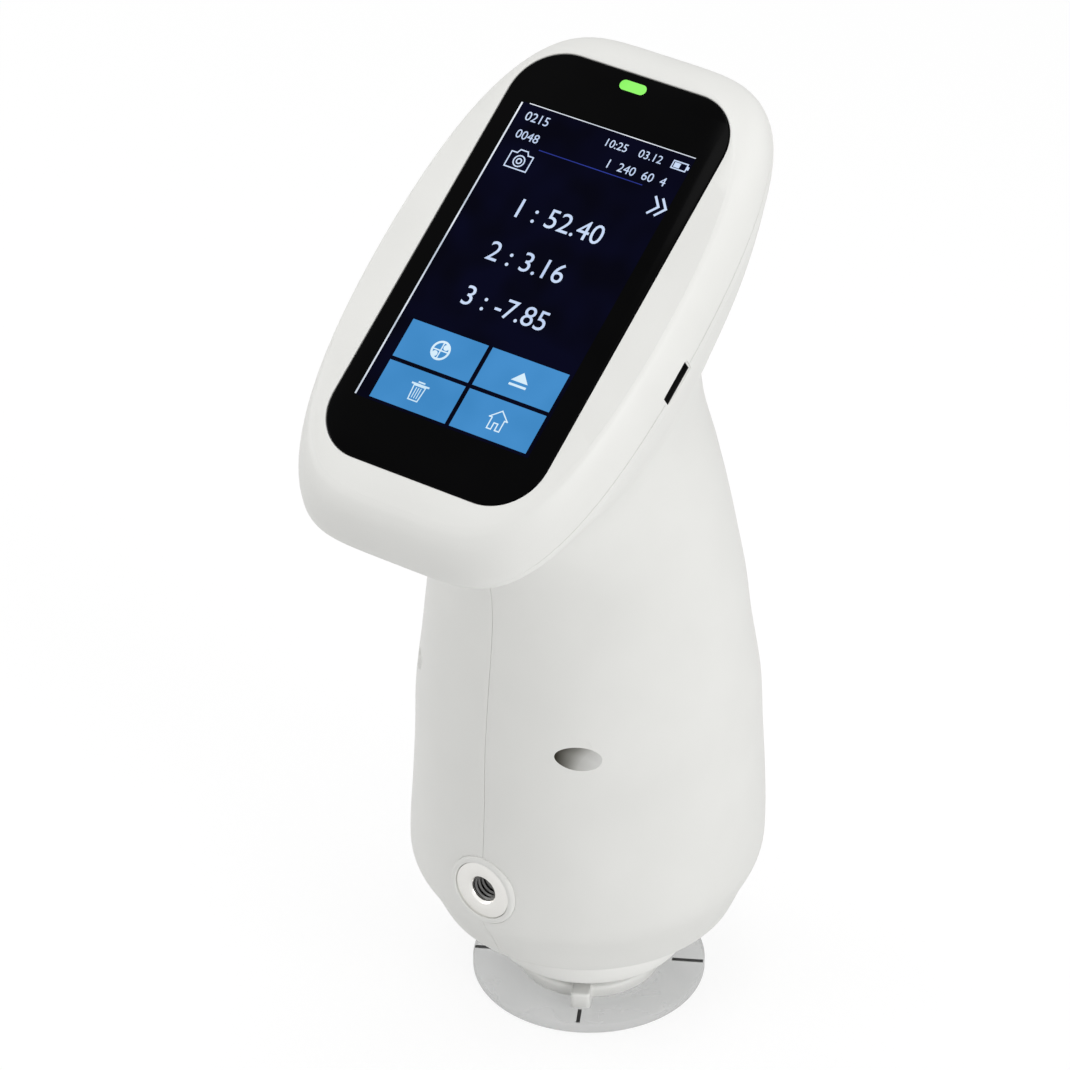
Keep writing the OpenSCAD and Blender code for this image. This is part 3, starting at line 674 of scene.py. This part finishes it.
# where a ray from the centre leaves a rectangle with round corners
def windowPoint(width, height, corner, angle, depth):
    dx, dy = width * abs(cos(angle)), height * abs(sin(angle))
    cx, cy = width / 2 - corner, height / 2 - corner
    if dx > 0 and dy * (width / 2) / dx <= cy:
        k = width / 2 / dx
    elif dy > 0 and dx * (height / 2) / dy <= cx:
        k = height / 2 / dy
    else:
        square, cross = dx * dx + dy * dy, dx * cx + dy * cy
        k = (cross + sqrt(cross ** 2 - square * (cx ** 2 + cy ** 2 - corner ** 2))) / square
    x = k * dx * (1 if cos(angle) >= 0 else -1)
    t = glass["up"] + k * dy * (1 if sin(angle) >= 0 else -1)
    return (x, *headPoint(t, depth))


cover = {
    "around": 240,
    "flankRings": 40,
    "lip": 0.35,
    "lipSteps": 4,
    "ledgeGap": 0.15,
    "rimRound": 0.3,
    # the inner wall's sections, from the window to the parting
    "inside": [(window["roof"], 2.2, 5.9, 4.6, 4.7), (5.0, 0.8, 2.4, 1.5, 4.8),
               (form["partingDepth"], 0, 0, 0, 4.8)],
}


def headCover():
    gap = glass["gap"]
    seat = [glass["width"] + 2 * gap, glass["height"] + 2 * gap, glass["corner"] + gap]
    lip = cover["lip"]
    rings = []
    last = len(coverStations) - 1
    for step in range(cover["flankRings"] + 1):
        station = stationAt(coverStations, last * step / cover["flankRings"])
        rings.append(lambda a, s=station: stationPoint(s, a))
    for step in range(cover["lipSteps"] + 1):
        turn = pi / 2 * step / cover["lipSteps"]
        wide, deep = 2 * lip * (1 - sin(turn)), lip * (1 - cos(turn))
        size = (seat[0] + wide, seat[1] + wide, seat[2] + wide / 2)
        rings.append(lambda a, w=size, d=deep: windowPoint(*w, a, d))
    ledge = glass["thick"] + cover["ledgeGap"]
    rings.append(lambda a: windowPoint(*seat, a, ledge))
    opening = [window["width"], window["height"], window["corner"]]
    rings.append(lambda a: windowPoint(*opening, a, ledge))
    rings.append(lambda a: windowPoint(*opening, a, window["roof"]))
    for station in cover["inside"]:
        rings.append(lambda a, s=headStation(*station): stationPoint(s, a, form["wall"]))
    rings.append(rings[0])

    def place(u, v):
        return rings[round(v * (len(rings) - 1))](2 * pi * round(u * cover["around"]) / cover["around"])

    bm = wrappedGrid(cover["around"], len(rings) - 1, place)
    rim = [e for e in cornerEdges(bm, 60)
           if all(abs((onFace().inverted() @ v.co).z + form["partingDepth"] * mm) < 0.01 * mm
                  for v in e.verts)]
    softenEdges(bm, rim, cover["rimRound"], 3)
    piece = finishPiece(bm, "headCover", "white_shell", "root", ["head_front_cover"])
    cutPiece(piece, [usbCutter()])
    markSharp(piece, 32)


headCover()
print("head cover made")


def coverGlass():
    bm = pillBlock(glass["width"], glass["height"], -glass["thick"], 0, 16, glass["corner"])
    softenEdges(bm, cornerEdges(bm, 60), glass["edge"], 3)
    moved(bm, onFace() @ lifted(0, glass["up"], 0))
    finishPiece(bm, "coverGlass", "black_glass", "root", ["touch_glass"])


coverGlass()


# the picture on the screen: places are (right, up) in mm from the screen's centre
picture = {
    "panel": (-23.0, 22.5, -38.2, 38.4),
    "leakLine": (-23.25, -22.85, -38.0, 38.2),
    "topLine": (-21.2, 22.4, 38.35, 38.55),
    "ruleLine": (-13.2, 14.0, 28.6, 28.8),
    "keyCentres": [(-9.6, -22.3), (11.5, -22.3), (-9.6, -32.75), (11.5, -32.75)],
    "keySize": (20.0, 9.5),
    "rows": [
        # words, left end, middle height, digit height
        ("0215", -20.6, 35.6, 2.3),
        ("10:25", 0.3, 35.6, 2.0),
        ("03.12", 9.3, 35.6, 2.0),
        ("0048", -20.5, 31.0, 2.2),
        ("1  240  60  4", 3.2, 31.0, 2.2),
    ],
    "readouts": [
        ("1 : 52.40", -11.7, 14.7, 4.9),
        ("2 : 3.16", -11.9, 3.4, 4.9),
        ("3 : -7.85", -11.9, -8.1, 4.9),
    ],
    "statusPill": (-0.2, 49.6, 6.8, 2.5),
    # each layer's lower and upper height over the glass
    "panelRise": (0.0, 0.02),
    "leakRise": (0.005, 0.04),
    "printRise": (0.01, 0.04),
    "signRise": (0.03, 0.06),
    "pillRise": (0.0, 0.08),
}
screenFinishes = {
    "panel": finishes["screen"],
    "glyph": glowFinish("glyphWhite", (0.62, 0.74, 0.95), (0.52, 0.64, 0.88), 1.0),
    "leak": glowFinish("backlightLeak", (0.88, 0.93, 1.0), (0.55, 0.62, 0.72), 1.0),
    "rule": glowFinish("ruleBlue", (0.03, 0.05, 0.35), (0.02, 0.03, 0.22), 1.0),
    "key": glowFinish("keyBlue", (0.060, 0.27, 0.60), (0.050, 0.245, 0.55), 1.0),
    "keySign": glowFinish("keySign", (0.72, 0.88, 0.98), (0.60, 0.80, 0.94), 1.0),
}


# thin lit plates lying on the cover glass, each a box between two heights in mm
def addPlate(bm, left, right, low, high, bottom, top):
    made = bmesh.ops.create_cube(bm, size=1)["verts"]
    bmesh.ops.scale(bm, vec=Vector((right - left, high - low, top - bottom)) * mm, verts=made)
    bmesh.ops.translate(bm, vec=Vector(((left + right) / 2, (low + high) / 2, (bottom + top) / 2)) * mm,
                        verts=made)
    return made


def addStroke(bm, start, end, width, bottom, top):
    reach = Vector(end) - Vector(start)
    made = addPlate(bm, -reach.length / 2 - width / 2, reach.length / 2 + width / 2,
                    -width / 2, width / 2, bottom, top)
    middle = (Vector(start) + Vector(end)) / 2
    turn = Matrix.Rotation(Vector((1, 0)).angle_signed(reach) * -1, 4, "Z")
    bmesh.ops.transform(bm, matrix=lifted(middle.x, middle.y, 0) @ turn, verts=made)


def addLoop(bm, points, width, bottom, top):
    for start, end in zip(points, points[1:] + points[:1]):
        addStroke(bm, start, end, width, bottom, top)


def addRound(bm, x, y, radius, bottom, top, sides=32):
    made = bmesh.ops.create_cone(bm, cap_ends=True, segments=sides, radius1=radius * mm,
                                 radius2=radius * mm, depth=(top - bottom) * mm)["verts"]
    bmesh.ops.translate(bm, vec=Vector((x, y, (bottom + top) / 2)) * mm, verts=made)


def circlePoints(x, y, radius, count=20):
    turns = [2 * pi * k / count for k in range(count)]
    return [(x + radius * cos(a), y + radius * sin(a)) for a in turns]


def onScreen(bm, name, finish, slot="screen", replaced=()):
    moved(bm, onFace())
    piece = finishPiece(bm, name, slot, "root", replaced)
    piece.data.materials.clear()
    piece.data.materials.append(finish)
    return piece


def addWords(bm, words, x, y, height, bottom, top):
    curve = bpy.data.curves.new("words", "FONT")
    curve.body = words
    curve.size = height * 1.38 * mm
    curve.extrude = (top - bottom) / 2 * mm
    curve.resolution_u = 4
    holder = bpy.data.objects.new("words", curve)
    bpy.context.collection.objects.link(holder)
    bpy.context.view_layer.update()
    mesh = bpy.data.meshes.new_from_object(holder.evaluated_get(bpy.context.evaluated_depsgraph_get()))
    mesh.transform(lifted(x, y - height / 2, (bottom + top) / 2))
    bm.from_mesh(mesh)
    bpy.data.objects.remove(holder)
    bpy.data.meshes.remove(mesh)


def screenPicture():
    bm = bmesh.new()
    addPlate(bm, *picture["panel"], *picture["panelRise"])
    onScreen(bm, "screenPanel", screenFinishes["panel"])

    bm = bmesh.new()
    addPlate(bm, *picture["leakLine"], *picture["leakRise"])
    addPlate(bm, *picture["topLine"], *picture["leakRise"])
    onScreen(bm, "screenLeakLines", screenFinishes["leak"])

    bm = bmesh.new()
    addPlate(bm, *picture["ruleLine"], *picture["printRise"])
    onScreen(bm, "screenRule", screenFinishes["rule"])

    bm = bmesh.new()
    wide, tall = picture["keySize"]
    for x, y in picture["keyCentres"]:
        addPlate(bm, x - wide / 2, x + wide / 2, y - tall / 2, y + tall / 2, *picture["printRise"])
    onScreen(bm, "screenKeys", screenFinishes["key"])

    bm = bmesh.new()
    for words, x, y, height in picture["rows"] + picture["readouts"]:
        addWords(bm, words, x, y, height, *picture["printRise"])
    onScreen(bm, "screenNumbers", screenFinishes["glyph"])


# the screen's signs: places of the camera, arrow and battery from the screen's centre, the others
# from their key's centre
signs = {
    "line": 0.28,
    "camera": [(-19.1, 22.8), (-13.4, 22.8), (-13.4, 26.6), (-14.8, 26.6), (-15.3, 27.5),
               (-17.2, 27.5), (-17.7, 26.6), (-19.1, 26.6)],
    "lensRings": [(-16.25, 24.8, 1.35, 20), (-16.25, 24.8, 0.6, 12)],
    "arrows": [[(18.5, 27.1), (20.2, 25.1), (18.5, 23.1)], [(20.4, 27.1), (22.1, 25.1), (20.4, 23.1)]],
    "arrowLine": 0.55,
    "battery": [(18.0, 34.7), (21.6, 34.7), (21.6, 36.5), (18.0, 36.5)],
    "batteryPlates": [(18.4, 19.9, 35.0, 36.2), (21.7, 22.2, 35.2, 36.0)],
    "dial": {"radius": 2.1, "around": 28, "line": 0.5, "cross": 0.3, "dot": 0.7, "dotAt": 1.0},
    "triangle": {"radius": 2.2, "squash": (1.15, 0.72, 1), "up": 0.1, "bar": (-2.2, 2.2, -1.9, -1.35)},
    "bin": [(-1.5, 1.2), (-1.2, -2.3), (1.2, -2.3), (1.5, 1.2)],
    "binStrokes": [((-2.1, 1.5), (2.1, 1.5), 0.4), ((-0.7, 2.1), (0.7, 2.1), 0.35),
                   ((-0.6, 0.7), (-0.6, -1.7), 0.2), ((0, 0.7), (0, -1.7), 0.2),
                   ((0.6, 0.7), (0.6, -1.7), 0.2)],
    "house": [(-1.6, -2.3), (-0.5, -2.3), (-0.5, -0.7), (0.5, -0.7), (0.5, -2.3), (1.6, -2.3),
              (1.6, 0.4), (2.3, 0.4), (0, 2.4), (-2.3, 0.4), (-1.6, 0.4)],
}


def placedAt(x, y, points):
    return [(x + dx, y + dy) for dx, dy in points]


def screenSigns():
    rise, fine = picture["printRise"], signs["line"]
    bm = bmesh.new()
    addLoop(bm, signs["camera"], fine, *rise)
    for ring in signs["lensRings"]:
        addLoop(bm, circlePoints(*ring), fine, *rise)
    for start, tip, end in signs["arrows"]:
        addStroke(bm, start, tip, signs["arrowLine"], *rise)
        addStroke(bm, tip, end, signs["arrowLine"], *rise)
    addLoop(bm, signs["battery"], fine, *rise)
    for plate in signs["batteryPlates"]:
        addPlate(bm, *plate, *rise)
    onScreen(bm, "screenSigns", screenFinishes["glyph"])

    (leftX, topY), (rightX, _), (_, bottomY), _ = picture["keyCentres"]
    rise, dial, triangle = picture["signRise"], signs["dial"], signs["triangle"]
    low, high = rise
    bm = bmesh.new()
    radius = dial["radius"]
    addLoop(bm, circlePoints(leftX, topY, radius, dial["around"]), dial["line"], *rise)
    for angle in (0, pi / 2):
        dx, dy = radius * cos(angle), radius * sin(angle)
        addStroke(bm, (leftX - dx, topY - dy), (leftX + dx, topY + dy), dial["cross"], *rise)
    for shift in (dial["dotAt"], -dial["dotAt"]):
        addRound(bm, leftX + shift, topY + shift, dial["dot"], low, high, 20)
    size = triangle["radius"] * mm
    made = bmesh.ops.create_cone(bm, cap_ends=True, segments=3, radius1=size, radius2=size,
                                 depth=(high - low) * mm)["verts"]
    bmesh.ops.scale(bm, vec=triangle["squash"], verts=made)
    middle = Vector((rightX, topY + triangle["up"], (low + high) / 2))
    bmesh.ops.translate(bm, vec=middle * mm, verts=made)
    left, right, under, over = triangle["bar"]
    addPlate(bm, rightX + left, rightX + right, topY + under, topY + over, *rise)
    addLoop(bm, placedAt(leftX, bottomY, signs["bin"]), fine, *rise)
    for start, end, wide in signs["binStrokes"]:
        addStroke(bm, *placedAt(leftX, bottomY, (start, end)), wide, *rise)
    addLoop(bm, placedAt(rightX, bottomY, signs["house"]), fine, *rise)
    onScreen(bm, "screenKeySigns", screenFinishes["keySign"])

    x, y, wide, tall = picture["statusPill"]
    bm = pillBlock(tall, wide, *picture["pillRise"])
    softenEdges(bm, cornerEdges(bm, 60), 0.06, 2)
    moved(bm, lifted(x, y, 0) @ Matrix.Rotation(pi / 2, 4, "Z"))
    onScreen(bm, "statusPill", finishes["green_light"], "green_light")


screenPicture()
screenSigns()
print("screen picture made")


def turnedPiece(name, slot, profile, place, body="root", replaced=(), soften=0.15, steps=128,
                closed=True):
    bm = turned(profile, steps, closed)
    bmesh.ops.recalc_face_normals(bm, faces=bm.faces)
    if soften:
        softenEdges(bm, cornerEdges(bm, 25), soften, 2)
    moved(bm, place)
    return finishPiece(bm, name, slot, body, replaced)


# camera-stand socket in the front of the body: heights run inwards from the face
bezel = {"bore": 5.55, "seat": 7.35, "seatDeep": 1.1, "lip": -0.7, "slope": 0.5, "flangeDeep": 4.9,
         "step": 1.2, "deep": 10.9}
# sleeve: a thin dark lining inside the bore, put there as painted shade
insert = {"rim": 7.2, "rimDeep": 1.05, "face": -0.3, "body": 5.5, "deep": 11.5, "bore": 3.13,
          "boreDeep": 9.7, "chamfer": 0.55, "threadPitch": 1.27, "threadDeep": 0.48, "threadStart": 0.9,
          "threadRoot": 0.42, "threadCrest": 0.08, "turns": 7, "stepsPerTurn": 36,
          "sleeve": (0.02, 0.1), "sleeveRun": (0.7, 9.5, 9.6)}


def standSocket():
    place = lifted(0, socket["y"], socket["z"]) @ Matrix.Rotation(-pi / 2, 4, "X")
    outer = socket["bezelRadius"]
    lip, slope, waist = bezel["lip"], bezel["slope"], outer - bezel["step"]
    turnedPiece("socketBezel", "white_shell", [
        (bezel["bore"], bezel["seatDeep"]), (bezel["seat"], bezel["seatDeep"]), (bezel["seat"], lip),
        (outer - slope, lip), (outer, lip + slope), (outer, bezel["flangeDeep"]),
        (waist, bezel["flangeDeep"]), (waist, bezel["deep"]), (bezel["bore"], bezel["deep"]),
    ], place, replaced=["tripod_socket_bezel"], soften=0.22)
    turnedPiece("socketInsert", "nickel", [
        (0, insert["boreDeep"]), (insert["bore"], insert["boreDeep"]), (insert["bore"], 0.3),
        (insert["bore"] + insert["chamfer"], insert["face"]), (insert["rim"], insert["face"]),
        (insert["rim"], insert["rimDeep"]), (insert["body"], insert["rimDeep"]),
        (insert["body"], insert["deep"]), (0, insert["deep"]),
    ], place, replaced=["tripod_insert"], soften=0.12, closed=False)

    pitch, deep, bore = insert["threadPitch"], insert["threadDeep"], insert["bore"]
    bm = bmesh.new()
    root, crest, sunk = pitch * insert["threadRoot"], pitch * insert["threadCrest"], bore + 0.05
    corners = [(sunk, -root), (bore - deep, -crest), (bore - deep, crest), (sunk, root)]
    verts = [bm.verts.new((r * mm, 0, (z + insert["threadStart"]) * mm)) for r, z in corners]
    edges = [bm.edges.new(pair) for pair in zip(verts, verts[1:] + verts[:1])]
    steps = insert["stepsPerTurn"] * insert["turns"]
    bmesh.ops.spin(bm, geom=verts + edges, axis=(0, 0, 1), cent=(0, 0, 0), steps=steps,
                   angle=2 * pi * insert["turns"], dvec=(0, 0, pitch * insert["turns"] / steps * mm))
    bmesh.ops.holes_fill(bm, edges=bm.edges[:], sides=4)
    moved(bm, place)
    # painted shade: the thread gets the dark bore finish
    recoat(finishPiece(bm, "socketThread", "nickel", "root"), "bore_shade_metal")
    # a thin dark sleeve inside the bore, painted shade where the hole is deep
    outside, inside = [bore - gap for gap in insert["sleeve"]]
    mouth, floor, back = insert["sleeveRun"]
    sleeve = turnedPiece("socketBore", "nickel", [
        (0, back), (outside, back), (outside, mouth), (inside, mouth), (inside, floor), (0, floor),
    ], place, soften=0, closed=False)
    recoat(sleeve, "bore_shade_metal")


standSocket()


# measuring port under the body
port = {
    "ring": 14.2,
    "clearance": 0.1,
    "flangeLow": 10.8,
    "flangeProfile": [(22.6, 10.8), (23.25, 11.4), (23.45, 12.2), (24.0, 14.8), (24.4, 22),
                      (29.6, 22.4), (29.6, 26.2), (22.95, 26.2), (19.3, 17)],
    "flangeIn": 12,
}


def underside():
    inner = port["ring"] + port["clearance"]
    flange = turnedPiece("portFlange", "white_shell", [
        (inner, port["flangeLow"]), *port["flangeProfile"], (inner, port["flangeIn"]),
    ], Matrix.Identity(4), replaced=["port_flange"], soften=0.25)
    # painted light: the flange gets the lighter copy of the shell white
    recoat(flange, "painted_light_white")
    softenedNode("port_plate", 0.25, "portPlate")
    softenedNode("port_screws", 0.12, "portScrews")
    softenedNode("aperture_ring", 0.2, "apertureRing")


underside()

locator = {
    "disc": 27.6,
    "thick": 2.5,
    "hole": 7.3,
    "collar": [(17.0, 2.5), (17.0, 4.6), (16.65, 5.25), (15.9, 5.6)],
    "groove": [(14.4, 5.6), (14.4, 5.1), (15.45, 5.1), (15.45, 4.1), (14.4, 4.1), (14.4, 3.3)],
    "pointerWidth": 4.7,
    "pointerStart": 14.7,
    "pointerReach": 21.3,
    "pointerTop": 6.4,
    "pointerAngle": radians(29),
    "pointerRound": 1.1,
    "pointerEdge": 0.7,
    "markWidth": 0.9,
    "markRise": (2.25, 2.55),
    # turn from the pointer in degrees, inner end, outer end
    "marks": [(0, 21.8, 26.7), (90, 19.9, 27.3), (180, 19.9, 27.3), (270, 19.9, 27.3)],
}
grip = {"radius": 14.85, "height": 4.6, "thick": 0.45, "around": 16}


def clearLocator():
    thick, hole, reach = locator["thick"], locator["hole"], locator["pointerReach"]
    turnedPiece("locatorDisc", "clear_disc", [
        (hole, 0), (locator["disc"], 0), (locator["disc"], thick), (hole, thick),
    ], Matrix.Identity(4), "locator", ["locator_disc"], soften=0.3, steps=160)
    collar = turnedPiece("locatorCollar", "white_shell", [
        (hole, thick), *locator["collar"], *locator["groove"], (hole, 3.3),
    ], Matrix.Identity(4), "locator", ["locator_collar"], soften=0.12)
    # painted light: the collar gets the lighter copy of the shell white
    recoat(collar, "painted_light_white")

    deep, tall = reach - locator["pointerStart"], locator["pointerTop"] - thick
    bm = blockCutter(locator["pointerWidth"], deep, tall)
    upright = [e for e in bm.edges if abs((e.verts[0].co - e.verts[1].co).z) > tall * 0.5 * mm
               and e.verts[0].co.y < 0]
    softenEdges(bm, upright, locator["pointerRound"], 6)
    upper = [e for e in cornerEdges(bm, 60) if min(v.co.z for v in e.verts) > 0]
    softenEdges(bm, upper, locator["pointerEdge"], 4)
    moved(bm, Matrix.Rotation(locator["pointerAngle"], 4, "Z")
          @ lifted(0, -reach + deep / 2, thick + tall / 2))
    # painted light: the pointer gets the lighter copy of the shell white
    recoat(finishPiece(bm, "locatorPointer", "white_shell", "locator"), "painted_light_white")

    bm = bmesh.new()
    half = locator["markWidth"] / 2
    for angle, start, end in locator["marks"]:
        made = addPlate(bm, -half, half, -end, -start, *locator["markRise"])
        bmesh.ops.rotate(bm, cent=(0, 0, 0), verts=made,
                         matrix=Matrix.Rotation(locator["pointerAngle"] + radians(angle), 3, "Z"))
    softenEdges(bm, cornerEdges(bm, 60), 0.04, 1)
    finishPiece(bm, "locatorMarks", "mark_black", "locator", ["locator_marks"])

    turns = [2 * pi * k / grip["around"] for k in range(grip["around"])]
    bm = turned([(grip["radius"] + grip["thick"] * cos(a), grip["height"] + grip["thick"] * sin(a))
                 for a in turns], 128)
    finishPiece(bm, "gripRing", "rubber", "grip", ["locator_grip_ring"], sharp=80)


clearLocator()
print("port and locator made")


# measuring button, power slider, plugs and charging socket
def controls():
    bm = pillBlock(button["width"], button["height"], -button["deep"], button["proud"], button["arc"])
    top = [e for e in cornerEdges(bm, 60) if min(v.co.z for v in e.verts) > 0]
    softenEdges(bm, top, button["edge"], 6)
    moved(bm, onButton())
    finishPiece(bm, "measureButton", "button_grey", "button", ["measure_button"])

    over = 2 * button["flangeOver"]
    bm = pillBlock(button["width"] + over, button["height"] + over, *button["flange"], button["arc"])
    moved(bm, onButton())
    finishPiece(bm, "buttonFlange", "button_grey", "button")

    softenedNode("power_switch_knob", 0.18, "powerKnob", "power_slider")
    softenedNode("power_switch_body", 0.2, "powerSwitchBody")
    softenedNode("shell_screw_plugs", 0.25, "screwPlugs")
    # painted shade: the receptacle and its tongue are coated near-black for the slot's shade
    recoat(softenedNode("usb_receptacle", 0.1, "chargingShell"), "slot_shade_black")
    recoat(softenedNode("usb_tongue", 0.08, "chargingTongue"), "slot_shade_black")


# the charging opening's frames; the inner one is a dark sheet of painted shade
slotFrames = [
    # name, slot, finish, inset, wall, inner end, outer end
    ("slotFrame", "white_shell", "white_shell", 0, 0.4, 38.0, 39.62),
    ("slotShadeSheet", "black_plastic", "slot_shade_black", 0.4, 0.08, 38.0, 39.5),
]


# one frame: four walls, each a plate in the tilted face's directions
def slotFrame(name, slot, finish, grow, wall, near, far):
    y, z = usb["y"], -usb["depth"]
    wide, tall = usb["wide"] / 2 - grow, usb["tall"] / 2 - grow
    bm = bmesh.new()
    for side in (-1, 1):
        edges = sorted((side * tall, side * (tall - wall)))
        addPlate(bm, near, far, y - wide, y + wide, z + edges[0], z + edges[1])
        edges = sorted((side * wide, side * (wide - wall)))
        addPlate(bm, near, far, y + edges[0], y + edges[1], z - tall + wall, z + tall - wall)
    moved(bm, onFace())
    recoat(finishPiece(bm, name, slot, "root"), finish)


controls()
for values in slotFrames:
    slotFrame(*values)
print("controls made")


def stageAndLight():
    bm = bmesh.new()
    bmesh.ops.create_grid(bm, x_segments=1, y_segments=1, size=studio["floorSize"])
    mesh = bpy.data.meshes.new("floor")
    bm.to_mesh(mesh)
    bm.free()
    floor = bpy.data.objects.new("floor", mesh)
    bpy.context.collection.objects.link(floor)
    floor.data.transform(lifted(0, 0, -studio["floorDrop"]))
    finish = Finish("paleFloor")
    seen = finish.add("ShaderNodeLightPath", {}, {}).output("Is Camera Ray")
    finish.set(Base_Color=studio["floorTone"], Roughness=0.9, Specular_IOR_Level=0.0)
    white = finish.add("ShaderNodeEmission", {}, {
        "Color": tone(1, 1, 1), "Strength": studio["floorGlow"],
    })
    mixed = finish.add("ShaderNodeMixShader", {}, {0: seen * studio["floorSeen"], 2: white})
    finish.tree.links.new(finish.shader.outputs[0], mixed.socket.node.inputs[1])
    finish.tree.links.new(mixed.socket, finish.tree.nodes["Material Output"].inputs[0])
    mesh.materials.append(finish.material)

    world = bpy.data.worlds.new("studioWhite")
    world.use_nodes = True
    bpy.context.scene.world = world
    tree = world.node_tree
    background = tree.nodes["Background"]
    path = tree.nodes.new("ShaderNodeLightPath")
    pick = tree.nodes.new("ShaderNodeMix")
    pick.data_type = "FLOAT"
    pick.inputs[2].default_value = studio["worldLight"]
    pick.inputs[3].default_value = studio["worldSeen"]
    seen = path.outputs["Is Camera Ray"]
    for kind in ("Is Glossy Ray", "Is Transmission Ray"):
        either = tree.nodes.new("ShaderNodeMath")
        either.operation = "MAXIMUM"
        tree.links.new(seen, either.inputs[0])
        tree.links.new(path.outputs[kind], either.inputs[1])
        seen = either.outputs[0]
    tree.links.new(seen, pick.inputs[0])
    tree.links.new(pick.outputs[0], background.inputs["Strength"])
    background.inputs["Color"].default_value = (1, 1, 1, 1)

    for number, (place, size, watts) in enumerate(studio["lamps"]):
        lamp = bpy.data.lights.new(f"softbox{number}", "AREA")
        lamp.shape = "DISK"
        lamp.size = size
        lamp.energy = watts
        holder = bpy.data.objects.new(f"softbox{number}", lamp)
        bpy.context.collection.objects.link(holder)
        holder.location = place
        aim = Vector(studio["aim"]) - Vector(place)
        holder.rotation_mode = "QUATERNION"
        holder.rotation_quaternion = aim.to_track_quat("-Z", "Y")


stageAndLight()
print("stage and lamps placed")
